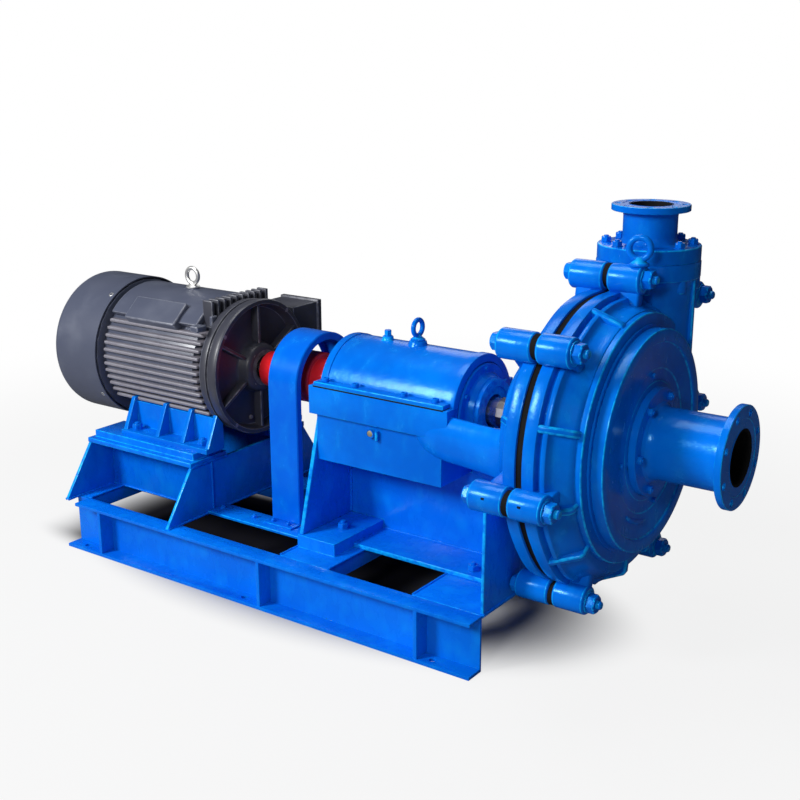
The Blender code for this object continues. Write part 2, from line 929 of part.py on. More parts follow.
def build_pedestal():
    """The bearing pedestal: two end plates, and a web on its foot plate between them."""
    foot = channel_height + fit
    bar_top = channel_height + bar_high
    rear_foot_half, head_cheek = 0.256, 0.018
    head = bracket_band_low - fit
    hollow = barrel_radius + running_gap * 2
    rear_head_half = math.sqrt(hollow**2 - (shaft_height - head) ** 2) + head_cheek
    start = math.degrees(math.asin((shaft_height - head) / hollow))
    outline = [(-rear_foot_half, bar_top + fit), (rear_foot_half, bar_top + fit), (rear_head_half, head)]
    outline += arc(hollow, -start, -180 + start, small_steps, (0, shaft_height))
    outline += [(-rear_head_half, head)]
    prism("pedestal_plate_rear", outline, "X", bracket_rear, bracket_rear + pedestal_plate, "blue_enamel")
    front_plate = 0.010
    front = base_front
    front_foot_half, front_head_half, front_head_drop = 0.340, 0.334, 0.165
    front_head = shaft_height - front_head_drop
    cutout = 0.262
    start = math.degrees(math.asin((shaft_height - front_head) / cutout))
    curve = arc(cutout, -start, -180 + start, small_steps, (0, shaft_height))
    outline = [(-front_foot_half, foot), (front_foot_half, foot), (front_head_half, front_head)]
    outline += curve + [(-front_head_half, front_head)]
    prism("pedestal_plate_front", outline, "X", front - front_plate, front, "blue_enamel")
    web_half, foot_plate_half, foot_plate = 0.009, 0.168, 0.014
    web_rear = bracket_rear + pedestal_plate + fit
    web_front = front - front_plate - fit
    web_nose_drop = 0.270
    web_nose = shaft_height - web_nose_drop
    outline = [
        (web_rear, bar_top + fit),
        (web_rear, bracket_box_low - fit),
        (bracket_box_front, bracket_box_low - fit),
        (web_front, web_nose),
        (web_front, bar_top + fit),
    ]
    web = prism("pedestal_web", outline, "Y", -web_half, web_half, "blue_enamel")
    step = box(
        "pedestal web step",
        (bar_front + fit, -web_half, foot + foot_plate / 2),
        (web_front, web_half, bar_top + foot_plate),
    )
    plate = box(
        "pedestal web foot",
        (bar_front + fit, -foot_plate_half, foot),
        (web_front, foot_plate_half, foot + foot_plate),
    )
    weld(web, step, plate)


def build_bearings():
    """The bearing bracket with its neck, the barrel in it, the cover over it and the end covers."""
    bracket = box(
        "bearing_bracket",
        (bracket_rear, -bracket_band_half, bracket_band_low),
        (bracket_front, bracket_band_half, bracket_joint),
        "blue_enamel",
    )
    lower = box(
        "bearing bracket box",
        (bracket_rear + pedestal_plate + fit, -bracket_box_half, bracket_box_low),
        (bracket_box_front, bracket_box_half, bracket_band_low + overrun),
    )
    neck_wall = 0.016
    neck_step, neck_front_radius, neck_flange = 0.028, 0.226, 0.252
    neck_rear_radius = barrel_radius + neck_step
    neck_rear = bracket_box_front - overrun
    neck_front = rear_wall - fit
    flange_rear = neck_front - neck_wall
    neck = turned(
        "bearing bracket neck",
        [
            (neck_rear, neck_rear_radius),
            (neck_rear + overrun * 3, neck_rear_radius),
            (flange_rear, neck_front_radius),
            (flange_rear, neck_flange),
            (neck_front, neck_flange),
            (neck_front, neck_front_radius - neck_wall),
            (flange_rear, neck_front_radius - neck_wall),
            (neck_rear + overrun * 3, neck_rear_radius - neck_wall),
            (neck_rear, neck_rear_radius - neck_wall),
        ],
    )
    window = box(
        "bearing bracket window",
        (bracket_front, -neck_flange, shaft_height - neck_wall),
        (flange_rear, neck_flange, shaft_height + neck_flange),
    )
    headroom = box(
        "bearing bracket headroom",
        (bracket_rear - overrun, -neck_flange - fit, bracket_joint),
        (bracket_front + overrun, neck_flange + fit, shaft_height + neck_flange + fit),
    )
    bore = cylinders(
        "bearing bracket bore",
        [(0, shaft_height)],
        barrel_radius + fit,
        bracket_rear - overrun,
        bracket_front + overrun * 2,
        "X",
        round_steps,
    )
    weld(bracket, lower, neck)
    cut(bracket, window, headroom, bore)

    joint = bracket_joint + fit
    cover_setback = 0.016
    cover_rear = bracket_rear + cover_setback
    cover_wall, flange_high = 0.012, 0.014
    ring_width = 0.014
    shell = [
        (cover_rear, barrel_radius + fit),
        (cover_rear, cover_radius),
        (bracket_front, cover_radius),
        (bracket_front, barrel_radius + fit),
        (bracket_front - ring_width, barrel_radius + fit),
        (bracket_front - ring_width, cover_radius - cover_wall),
        (cover_rear + ring_width, cover_radius - cover_wall),
        (cover_rear + ring_width, barrel_radius + fit),
    ]
    cover = turned("bearing_cover", shell, "blue_enamel")
    flanges = []
    for side in (-1, 1):
        edges = sorted((side * (cover_radius - cover_wall), side * bracket_band_half))
        flanges.append(
            box(
                f"bearing cover flange {side}",
                (cover_rear, edges[0], joint - flange_high),
                (bracket_front - ring_width, edges[1], joint + flange_high),
            )
        )
    vent_place, eye_place = 0.256, 0.367
    top = shaft_height + cover_radius
    lug_high, lug_radius, vent_radius = 0.010, 0.017, 0.012
    eye_ring, eye_wire = 0.024, 0.0075
    lugs = cylinders(
        "bearing cover lugs",
        [(vent_place, 0), (eye_place, 0)],
        lug_radius,
        top - cover_wall,
        top + lug_high,
        "Z",
        bolt_steps,
    )
    vent = cylinders(
        "bearing cover vent", [(vent_place, 0)], vent_radius, top, top + lug_high * 3, "Z", bolt_steps
    )
    below = box(
        "bearing cover below",
        (cover_rear - overrun, -cover_radius * 2, shaft_height - cover_radius * 2),
        (bracket_front + overrun, cover_radius * 2, joint),
    )
    weld(cover, *flanges, lugs, vent)
    cut(cover, below)
    eye_bolt("bearing_eye_bolt", (eye_place, 0), top + lug_high + fit, eye_ring, eye_wire, "blue_enamel", "X")

    race_wall, middle_step = 0.024, 0.008
    bearing_radius = barrel_radius - race_wall
    middle_radius = bearing_radius - middle_step
    turned(
        "bearing_barrel",
        [
            (barrel_rear, bearing_radius),
            (barrel_rear, barrel_radius),
            (barrel_front, barrel_radius),
            (barrel_front, bearing_radius),
            (barrel_front - barrel_seat, bearing_radius),
            (barrel_front - barrel_seat, middle_radius),
            (barrel_rear + barrel_seat, middle_radius),
            (barrel_rear + barrel_seat, bearing_radius),
        ],
        "blue_enamel",
        steps=hidden_steps,
    )
    journal = pump_shaft_radius - pump_journal_step
    for name, rear in (
        ("pump_bearing_rear", barrel_rear + fit * 2),
        ("pump_bearing_front", barrel_front - barrel_seat + fit),
    ):
        turned(
            name,
            [
                (rear, journal + running_gap * 1.5),
                (rear, bearing_radius - fit),
                (rear + barrel_seat - fit * 3, bearing_radius - fit),
                (rear + barrel_seat - fit * 3, journal + running_gap * 1.5),
            ],
            "bearing_steel",
            steps=hidden_steps,
        )
    end_plate, end_hub, end_hub_radius = 0.018, 0.030, 0.097
    seal = pump_shaft_radius + running_gap
    step_radius = 0.116
    turned(
        "end_cover_front",
        [
            (barrel_front + fit, seal),
            (barrel_front + fit, barrel_radius - fit),
            (barrel_front + end_plate, barrel_radius - fit),
            (barrel_front + end_plate, step_radius),
            (barrel_front + end_plate - running_gap * 3, step_radius),
            (barrel_front + end_plate - running_gap * 3, end_hub_radius),
            (barrel_front + end_plate + end_hub - running_gap, end_hub_radius),
            (barrel_front + end_plate + end_hub, end_hub_radius - running_gap),
            (barrel_front + end_plate + end_hub, seal),
        ],
        "blue_enamel",
    )
    rear_end = barrel_rear - fit
    turned(
        "end_cover_rear",
        [
            (rear_end, seal),
            (rear_end, barrel_radius - fit),
            (rear_end - end_plate, barrel_radius - fit),
            (rear_end - end_plate, end_hub_radius),
            (rear_end - end_plate - end_hub / 2, end_hub_radius),
            (rear_end - end_plate - end_hub / 2, seal),
        ],
        "blue_enamel",
        steps=hidden_steps,
    )
    sight_place, sight_drop, sight_radius = 0.322, 0.029, 0.013
    sight_level = bracket_band_low - sight_drop
    sight_depth = 0.012
    cylinders(
        "oil_sight",
        [(sight_place, sight_level)],
        sight_radius,
        -bracket_box_half - sight_depth,
        -bracket_box_half - fit,
        "Y",
        small_steps,
        "brass",
    )


def drum_radius(angle):
    """Outer radius of the casing's split line at an angle in degrees, from shares chosen by hand."""
    drum_shares = (1.09, 1.06, 1.0, 0.935, 0.945, 1.0, 1.0, 1.01, 1.045, 1.065, 1.075, 1.085)
    place = (angle % 360) / 360 * len(drum_shares)
    index = int(place)
    blend = (1 - math.cos((place - index) * math.pi)) / 2
    first = drum_shares[index % len(drum_shares)]
    second = drum_shares[(index + 1) % len(drum_shares)]
    return casing_radius * (first + (second - first) * blend)


def drum_ring(x, inset, least=0.0):
    """One ring of a casing half: the split line moved inward, never nearer the shaft than a least radius."""
    ring = []
    for step in range(ring_steps):
        angle = 360 * step / ring_steps
        radius = max(drum_radius(angle) - inset, least)
        turn = math.radians(angle)
        ring.append((x, radius * math.cos(turn), shaft_height + radius * math.sin(turn)))
    return ring


def round_ring(x, radius):
    """A circular ring with as many points as a drum ring."""
    return drum_ring(x, casing_radius * 2, radius)


def boss_places():
    """Flat places of the casing bolts: around the drum, and one beside the outlet."""
    angles = (81, 137, 190, 246, 302, 358)
    outset_shares = (1.056, 1.0, 1.111, 0.861, 1.167, 1.111)
    outlet_boss_rise = 0.317
    places = []
    for angle, share in zip(angles, outset_shares):
        radius = drum_radius(angle) + boss_radius * share
        turn = math.radians(angle)
        places.append((radius * math.cos(turn), shaft_height + radius * math.sin(turn)))
    outlet_boss_side = discharge_y + joint_flange_radius + boss_radius * 2
    outlet_boss_level = shaft_height + outlet_boss_rise
    places.append((outlet_boss_side, outlet_boss_level))
    return places


def boss_webs(name, low, high):
    """Radial webs that carry the round bolt bosses on a casing half."""
    half, root = 0.013, 0.310
    bm = bmesh.new()
    for y, z in boss_places()[:-1]:
        out = math.hypot(y, z - shaft_height)
        angle = math.atan2(z - shaft_height, y)
        made = bmesh.ops.create_cube(bm, size=1)["verts"]
        bmesh.ops.scale(bm, vec=(high - low, out - root, half * 2), verts=made)
        bmesh.ops.translate(bm, vec=((low + high) / 2, (out + root) / 2, 0), verts=made)
        rotate(bm, made, angle, "X")
    return add_object(name, to_mesh(name, bm), None, (0, 0, shaft_height))


def build_casing():
    """The two casing halves with their bolts, and the cover plate on the suction side."""
    rear_face = casing_split - casing_gap
    fore_face = casing_split + casing_gap
    far = boss_front + overrun
    bolt_radius, bolt_hole = 0.0115, 0.013
    rim_step, wall = 0.020, casing_wall
    front_inset, front_chamber_inset = 0.062, 0.086
    slope_inset, rear_inset, rear_chamber_inset = 0.104, 0.122, 0.136
    strip_rise, bore_rise, root_rise, outlet_taper = 0.100, 0.115, 0.200, 0.006
    lining_gap = 0.020
    front_ring, cover_gap = 0.345, 0.004

    front = loft(
        "casing_front",
        [
            drum_ring(casing_split, 0),
            drum_ring(fore_face + rim_width, 0),
            drum_ring(fore_face + rim_width, rim_step),
            drum_ring(front_face - wall, front_inset, front_ring * 1.015),
            round_ring(front_face - wall, front_ring),
            round_ring(front_face, front_ring),
        ],
        "blue_enamel",
    )
    rear = loft(
        "casing_rear",
        [
            drum_ring(casing_split, 0),
            drum_ring(rear_face - rim_width, 0),
            drum_ring(rear_face - rim_width, rim_step),
            drum_ring(rear_wall + wall, slope_inset),
            drum_ring(rear_wall, rear_inset),
        ],
        "blue_enamel",
    )
    front_chamber = loft(
        "casing front chamber",
        [
            drum_ring(fore_face - overrun, rim_step + wall),
            drum_ring(fore_face + wall / 2, rim_step + wall),
            drum_ring(front_face - wall * 2.5, front_chamber_inset),
        ],
    )
    rear_chamber = loft(
        "casing rear chamber",
        [
            drum_ring(rear_face + overrun, rim_step + wall),
            drum_ring(rear_face - rim_width / 2, rim_step + wall),
            drum_ring(rear_wall + wall, rear_chamber_inset),
        ],
    )
    mouth = turned(
        "casing front mouth",
        [
            (fore_face + wall, 0),
            (fore_face + wall, front_opening),
            (front_face, front_opening),
            (front_face, cover_plate_radius + cover_gap),
            (front_face + overrun * 3, cover_plate_radius + cover_gap),
            (front_face + overrun * 3, 0),
        ],
        steps=ring_steps,
    )
    rear_hole = cylinders(
        "casing rear opening",
        [(0, shaft_height)],
        stuffing_hole_radius,
        rear_wall - overrun,
        rear_wall + wall + overrun,
        "X",
        round_steps,
    )
    places = boss_places()
    strip_low, strip_high = shaft_height + strip_rise, joint_low + overrun
    strip_near = discharge_y - joint_flange_radius
    strip_far = discharge_y + joint_flange_radius + boss_radius
    strip = [
        (strip_near, strip_low),
        (strip_far, strip_low),
        (strip_far, strip_high),
        (strip_near, strip_high),
    ]
    last_y, last_z = places[-1]
    lug = [
        (strip_far - boss_radius, last_z - boss_radius),
        (last_y, last_z - boss_radius),
        (last_y, last_z + boss_radius),
        (strip_far - boss_radius, last_z + boss_radius),
    ]
    outlet_bore = cylinders(
        "casing outlet bore",
        [(discharge_x, discharge_y)],
        discharge_pipe_radius + lining_gap + fit,
        shaft_height + bore_rise,
        joint_split + overrun,
        "Z",
        pipe_steps,
    )
    bolt_holes = cylinders(
        "casing bolt holes", places, bolt_hole, boss_rear - overrun, far, "X", bolt_steps
    )
    root = shaft_height + root_rise
    outlet = turned(
        "casing outlet",
        [
            (root, 0),
            (root, outlet_radius - outlet_taper),
            (joint_low - boss_radius / 2, outlet_radius),
            (joint_low, joint_flange_radius),
            (joint_split - fit, joint_flange_radius),
            (joint_split - fit, 0),
        ],
        axis="Z",
        steps=round_steps,
    )
    outlet.rotation_euler.z = math.pi / round_steps
    rim_span = (rear_face - rim_width * 0.9, fore_face + rim_width * 0.9)
    bosses = cylinders("casing bosses", places, boss_radius, boss_rear, boss_front, "X", small_steps)
    webs = boss_webs("casing boss webs", rear_wall + wall * 2, boss_front - wall / 4)
    strips = prism("casing outlet strips", strip, "X", *rim_span)
    lugs = prism("casing outlet lug", lug, "X", *rim_span)
    reach = casing_radius * 2
    behind = box(
        "casing behind the split",
        (rear_wall - overrun * 3, -reach, shaft_height - reach),
        (fore_face, reach, shaft_height + reach),
    )
    before = box(
        "casing before the split",
        (rear_face, -reach, shaft_height - reach),
        (front_face + overrun * 3, reach, shaft_height + reach),
    )
    for half in (front, rear):
        weld(half, bosses, webs, outlet, strips, lugs)
    cut(front, behind, bolt_holes, front_chamber, mouth, outlet_bore)
    cut(rear, before, bolt_holes, rear_chamber, rear_hole, outlet_bore)
    nut_width, nut_high, washer_high = 0.046, 0.022, 0.005
    nut_radius = nut_width / math.sqrt(3)
    tail = 0.024
    for index, place in enumerate(places, 1):
        name = f"casing_bolt_{index}"
        stud = cylinders(
            name,
            [place],
            bolt_radius,
            boss_rear - fit - nut_high,
            boss_front + washer_high + nut_high + tail,
            "X",
            bolt_steps,
            "blue_enamel",
        )
        head = cylinders(
            f"{name} head", [place], nut_radius, boss_rear - fit - nut_high, boss_rear - fit, "X", bolt_steps
        )
        nut = cylinders(
            f"{name} nut", [place], nut_radius, boss_front + fit, boss_front + washer_high + nut_high,
            "X", bolt_steps,
        )
        weld(stud, head, nut)
    eye_ring, eye_wire = 0.029, 0.009
    eye_y, eye_z = places[0]
    eye_bolt(
        "casing_eye_bolt",
        (boss_front - boss_radius / 2, eye_y),
        eye_z + boss_radius * math.cos(math.pi / small_steps) + fit,
        eye_ring,
        eye_wire,
        "blue_enamel",
        "X",
    )
    cover_rim, cover_plate, throat_step = 0.034, 0.033, 0.019
    throat = suction_bore + throat_step
    turned(
        "cover_plate",
        [
            (front_face + fit, throat),
            (front_face + fit, front_opening + fit * 10),
            (cover_face - cover_plate, front_opening + fit * 10),
            (cover_face - cover_plate, cover_plate_radius),
            (cover_face - cover_step / 2, cover_plate_radius),
            (cover_face, cover_plate_radius - cover_step / 2),
            (cover_face, cover_plate_radius - cover_rim),
            (cover_face - cover_step, cover_plate_radius - cover_rim - cover_step / 2),
            (cover_face - cover_step, throat),
        ],
        "blue_enamel",
        steps=ring_steps,
    )


def build_wet_end():
    """Liners, impeller, pump shaft and the stuffing box."""
    channel_rear, channel_front = 0.874, 1.036
    plate = 0.020
    liner_wall, liner_eye = 0.018, 0.244
    belly, rear_inset, belly_inset, front_inset = 0.036, 0.150, 0.062, 0.110
    liner = loft(
        "volute_liner",
        [
            drum_ring(channel_rear, rear_inset),
            drum_ring(casing_split - belly, belly_inset),
            drum_ring(casing_split + belly, belly_inset),
            drum_ring(channel_front, front_inset),
        ],
        "white_iron",
    )
    lining = 0.020
    spigot_rise = 0.120
    spigot_low = shaft_height + spigot_rise
    spout = cylinders(
        "volute liner spout",
        [(discharge_x, discharge_y)],
        discharge_pipe_radius + lining,
        spigot_low,
        joint_split,
        "Z",
        pipe_steps,
    )
    passage = cylinders(
        "volute liner passage",
        [(discharge_x, discharge_y)],
        discharge_bore + liner_wall / 2,
        spigot_low + liner_wall,
        joint_split + overrun,
        "Z",
        pipe_steps,
        flat_start=math.pi / pipe_steps,
    )
    inside = loft(
        "volute liner inside",
        [
            drum_ring(channel_rear + liner_wall, rear_inset + liner_wall / 2),
            drum_ring(casing_split - belly, belly_inset + liner_wall),
            drum_ring(casing_split + belly, belly_inset + liner_wall),
            drum_ring(channel_front - liner_wall, front_inset + liner_wall / 2),
        ],
    )
    eye = turned(
        "volute liner eye",
        [
            (channel_rear - overrun, 0),
            (channel_rear - overrun, liner_eye),
            (channel_front, liner_eye),
            (channel_front, front_opening),
            (front_face, front_opening),
            (front_face, 0),
        ],
    )
    weld(liner, spout)
    cut(liner, passage, inside, eye)

    sleeve_radius = 0.047
    sleeve_bore = 0.038
    end_seat = sleeve_bore - sleeve_seat_step
    liner_bore = sleeve_radius + running_gap * 2
    rear_liner_rear = rear_wall + casing_wall + fit
    turned(
        "liner_rear",
        [
            (rear_liner_rear, liner_bore),
            (rear_liner_rear, liner_eye - fit),
            (channel_rear, liner_eye - fit),
            (channel_rear, liner_bore),
        ],
        "white_iron",
        steps=hidden_steps,
    )
    cover_rear = front_face
    turned(
        "throat_bush",
        [
            (channel_front + fit, suction_bore),
            (channel_front + fit, liner_eye),
            (channel_front + plate, liner_eye + plate),
            (cover_rear - fit, front_opening - running_gap * 2),
            (cover_rear - fit, suction_bore + lining - fit * 6),
            (cover_face - plate / 2, suction_bore + lining - fit * 6),
            (cover_face - plate / 2, suction_bore),
        ],
        "white_iron",
    )

    shroud, impeller_radius = 0.014, 0.232
    back = channel_rear + running_gap * 2
    fore = channel_front - running_gap * 2
    hub_radius, hub_front = 0.056, 0.930
    eye_radius = suction_bore
    bore_front = hub_front - shroud
    impeller = turned(
        "impeller",
        [
            (back, end_seat + fit),
            (back, impeller_radius),
            (back + shroud, impeller_radius),
            (back + shroud, hub_radius * 1.3),
            (hub_front - shroud / 2, hub_radius * 0.7),
            (hub_front, hub_radius * 0.3),
            (hub_front, 0),
            (bore_front, 0),
            (bore_front, end_seat + fit),
        ],
        "white_iron",
    )
    front_shroud = turned(
        "impeller front shroud",
        [
            (fore - shroud, eye_radius),
            (fore - shroud, impeller_radius),
            (fore, impeller_radius),
            (fore, eye_radius),
        ],
    )
    vane_count, vane, vane_steps = 5, 0.016, 4
    vane_start, vane_end, sweep = 0.066, 0.228, 95
    outer, inner = [], []
    for step in range(vane_steps + 1):
        share = step / vane_steps
        radius = vane_start + (vane_end - vane_start) * share
        angle = math.radians(-sweep * share)
        offset = vane / 2 / radius
        outer.append((radius * math.cos(angle + offset), radius * math.sin(angle + offset)))
        inner.append((radius * math.cos(angle - offset), radius * math.sin(angle - offset)))
    outline = outer + inner[::-1]
    weld(impeller, front_shroud)
    for index in range(vane_count):
        turn = index * math.tau / vane_count
        flat = [
            (y * math.cos(turn) - z * math.sin(turn), y * math.sin(turn) + z * math.cos(turn) + shaft_height)
            for y, z in outline
        ]
        weld(impeller, prism("impeller vane", flat, "X", back + shroud / 2, fore - shroud / 2))

    journal = pump_shaft_radius - pump_journal_step
    coupling_seat = motor_shaft_radius - coupling_seat_step - fit
    rear_bearing_face = barrel_rear + barrel_seat - fit
    front_bearing_face = barrel_front - barrel_seat + fit
    sleeve_rear, sleeve_front = 0.668, back - fit
    turned(
        "pump_shaft",
        [
            (coupling_split + overrun, 0),
            (coupling_split + overrun, coupling_seat),
            (coupling_pump_end + fit, coupling_seat),
            (coupling_pump_end + fit, journal),
            (rear_bearing_face + fit, journal),
            (rear_bearing_face + fit, pump_shaft_radius),
            (front_bearing_face - fit, pump_shaft_radius),
            (front_bearing_face - fit, journal),
            (sleeve_rear - fit, journal),
            (sleeve_rear - fit, sleeve_bore - fit),
            (sleeve_front, sleeve_bore - fit),
            (sleeve_front, end_seat),
            (bore_front - fit, end_seat),
            (bore_front - fit, 0),
        ],
        "bright_steel",
        steps=hidden_steps,
    )
    turned(
        "shaft_sleeve",
        [
            (sleeve_rear, sleeve_bore),
            (sleeve_rear, sleeve_radius),
            (sleeve_front - fit, sleeve_radius),
            (sleeve_front - fit, sleeve_bore),
        ],
        "bright_steel",
        steps=hidden_steps,
    )
    box_bore, box_wall = 0.062, 0.016
    box_rear = 0.756
    box_step, box_flange_radius = 0.834, 0.130
    turned(
        "stuffing_box",
        [
            (box_rear, box_bore),
            (box_rear, box_bore + box_wall * 1.4),
            (box_rear + box_wall, box_bore + box_wall * 1.4),
            (rear_wall - box_wall - fit, box_bore + box_wall),
            (rear_wall - box_wall - fit, box_flange_radius),
            (rear_wall - fit, box_flange_radius),
            (rear_wall - fit, stuffing_hole_radius - fit),
            (rear_liner_rear - fit, stuffing_hole_radius - fit),
            (rear_liner_rear - fit, liner_bore),
            (box_step - box_wall / 2, liner_bore),
            (box_step - box_wall / 2, box_bore),
        ],
        "blue_enamel",
        steps=hidden_steps,
    )
    gland_length = 0.030
    gland_rear = box_rear - gland_length
    turned(
        "gland",
        [
            (gland_rear, sleeve_radius + running_gap * 2),
            (gland_rear, box_bore + box_wall * 1.6),
            (gland_rear + box_wall, box_bore + box_wall * 1.6),
            (gland_rear + box_wall, box_bore - fit * 2),
            (box_rear + box_wall - fit, box_bore - fit * 2),
            (box_rear + box_wall - fit, sleeve_radius + running_gap * 2),
        ],
        "blue_enamel",
        steps=hidden_steps,
    )


def build_pipes():
    """The suction pipe and the discharge pipe with their flanges."""
    flange, neck_flange = 0.020, 0.021
    seat = cover_face - cover_step + fit
    hole_radius, top_hole_radius = 0.011, 0.009
    bolt_circle, top_bolt_circle = 0.120, 0.092
    suction = turned(
        "suction_pipe",
        [
            (seat, suction_bore),
            (seat, neck_flange_radius),
            (seat + neck_flange, neck_flange_radius),
            (seat + neck_flange, suction_pipe_radius),
            (suction_face - flange, suction_pipe_radius),
            (suction_face - flange, suction_flange_radius),
            (suction_face, suction_flange_radius),
            (suction_face, suction_bore),
        ],
        "blue_enamel",
    )
    holes = cylinders(
        "suction pipe bolt holes",
        circle_places(8, bolt_circle, 22.5, (0, shaft_height)),
        hole_radius,
        suction_face - flange - overrun / 2,
        suction_face + overrun,
        "X",
        bolt_steps,
    )
    cut(suction, holes)
    top_flange = 0.018
    discharge = turned(
        "discharge_pipe",
        [
            (joint_split + fit, discharge_bore),
            (joint_split + fit, joint_flange_radius),
            (joint_high, joint_flange_radius),
            (joint_high, discharge_pipe_radius),
            (discharge_top - top_flange, discharge_pipe_radius),
            (discharge_top - top_flange, discharge_flange_radius),
            (discharge_top, discharge_flange_radius),
            (discharge_top, discharge_bore),
        ],
        "blue_enamel",
        "Z",
    )
    top_holes = cylinders(
        "discharge pipe bolt holes",
        circle_places(8, top_bolt_circle, 22.5, (discharge_x, discharge_y)),
        top_hole_radius,
        discharge_top - top_flange - overrun / 4,
        discharge_top + overrun,
        "Z",
        bolt_steps,
    )
    cut(discharge, top_holes)


parts, tools = clear_scene()
build_base()
build_stand()
build_motor()
build_coupling()
build_pedestal()
build_bearings()
build_casing()
build_wet_end()
build_pipes()
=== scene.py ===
"""Looks of the slurry pump set: enamelled castings, a finned motor and a welded base.

Metres, +Z up, floor at zero, in the CAD's own frame. X runs along the shaft toward the
suction flange. Profiles are corners as (place along the axis, radius).
"""

from __future__ import annotations

import logging
import math
from dataclasses import dataclass
from enum import Enum
from typing import Callable, Iterable, Sequence

import bpy
from mathutils import Matrix, Vector

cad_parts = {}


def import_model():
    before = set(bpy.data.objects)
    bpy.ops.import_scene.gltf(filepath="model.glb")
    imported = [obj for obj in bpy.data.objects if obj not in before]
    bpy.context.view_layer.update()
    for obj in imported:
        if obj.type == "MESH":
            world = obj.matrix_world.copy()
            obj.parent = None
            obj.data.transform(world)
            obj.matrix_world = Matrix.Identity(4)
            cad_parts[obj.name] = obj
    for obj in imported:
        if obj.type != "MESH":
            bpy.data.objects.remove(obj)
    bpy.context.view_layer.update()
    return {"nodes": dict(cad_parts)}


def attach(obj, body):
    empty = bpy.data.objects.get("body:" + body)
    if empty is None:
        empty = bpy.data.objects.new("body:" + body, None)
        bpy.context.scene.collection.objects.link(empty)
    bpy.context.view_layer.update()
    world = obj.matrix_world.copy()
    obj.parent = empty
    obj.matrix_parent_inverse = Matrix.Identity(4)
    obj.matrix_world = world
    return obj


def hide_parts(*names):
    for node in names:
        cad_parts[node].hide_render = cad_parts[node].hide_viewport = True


log = logging.getLogger("slurry_pump")

Point = tuple[float, float]
Place = tuple[float, float, float]
Colour = tuple[float, float, float]
Profile = tuple[Point, ...]
Station = tuple[float, float, float]
Box = tuple[str, Place, Place, float, int]
Piece = bpy.types.Object

EDGE = "edge"
NARROW = 0.0030
SHAFT = 0.635
AXLE = (0.0, SHAFT)
SIDES = (-1, 1)
QUARTER = tuple(math.radians(90 * index / 8) for index in range(9))
EIGHTH = math.radians(22.5)


class Axis(Enum):
    """The world axis that a piece is turned or extruded along."""

    X = 0
    Y = 1
    Z = 2

    def place(self, flat: Point, along: float) -> Place:
        """Give the 3D point of a flat point at a distance along this axis.

        Args:
            flat: the point across the axis.
            along: the distance along it.

        Returns:
            The point.
        """
        if self is Axis.X:
            return (along, flat[0], flat[1])
        if self is Axis.Y:
            return (flat[0], along, flat[1])
        return (flat[0], flat[1], along)

    def facing(self, at: Place, sense: int = 1) -> Matrix:
        """The matrix that puts a piece made along +Z from zero at a place, along this axis."""
        target = Vector(self.place((0.0, 0.0), float(sense)))
        return Matrix.Translation(at) @ target.to_track_quat("Z", "Y").to_matrix().to_4x4()


def turn(count: int, start: float = 0.0) -> list[float]:
    """Equal angles of one turn, in radians."""
    return [math.tau * index / count + start for index in range(count)]


def polar(radius: float, angle: float, centre: Point = AXLE) -> Point:
    """The flat point at a radius and an angle round a centre."""
    return (centre[0] + radius * math.cos(angle), centre[1] + radius * math.sin(angle))


def round_shaft(angle: float) -> Matrix:
    """The matrix that lifts a piece to the shaft line, turned about it."""
    return Matrix.Translation((0, 0, SHAFT)) @ Matrix.Rotation(angle, 4, "X")


def on_circle(
    axis: Axis,
    along: float,
    radius: float,
    angles: Iterable[float],
    centre: Point = AXLE,
    sense: int = 1,
) -> list[Matrix]:
    """Places on a bolt circle, each facing along the axis."""
    spots = [axis.place(polar(radius, angle, centre), along) for angle in angles]
    return [axis.facing(spot, sense) for spot in spots]


def in_rows(stations: Sequence[float], half: float, level: float) -> list[Matrix]:
    """Upright places in two rows, one on each side of the middle."""
    return [Axis.Z.facing((x, side * half, level)) for side in SIDES for x in stations]


# Shader building


class Signal:
    """A shader socket that Python's operators can work on."""

    def __init__(self, graph: Graph, socket: bpy.types.NodeSocket) -> None:
        """Keep the graph and the socket."""
        self.graph = graph
        self.socket = socket

    def _math(self, operation: str, first: object, second: object) -> Signal:
        """Add a Math node."""
        return self.graph.node("ShaderNodeMath", {"operation": operation}, {0: first, 1: second})

    def __add__(self, other: object) -> Signal:
        """self + other."""
        return self._math("ADD", self, other)

    def __mul__(self, other: object) -> Signal:
        """self * other."""
        return self._math("MULTIPLY", self, other)

    def __sub__(self, other: object) -> Signal:
        """self - other."""
        return self._math("SUBTRACT", self, other)

    def __rsub__(self, other: object) -> Signal:
        """other - self."""
        return self._math("SUBTRACT", other, self)

    __radd__ = __add__
    __rmul__ = __mul__

    def maximum(self, other: object) -> Signal:
        """The larger of the two."""
        return self._math("MAXIMUM", self, other)


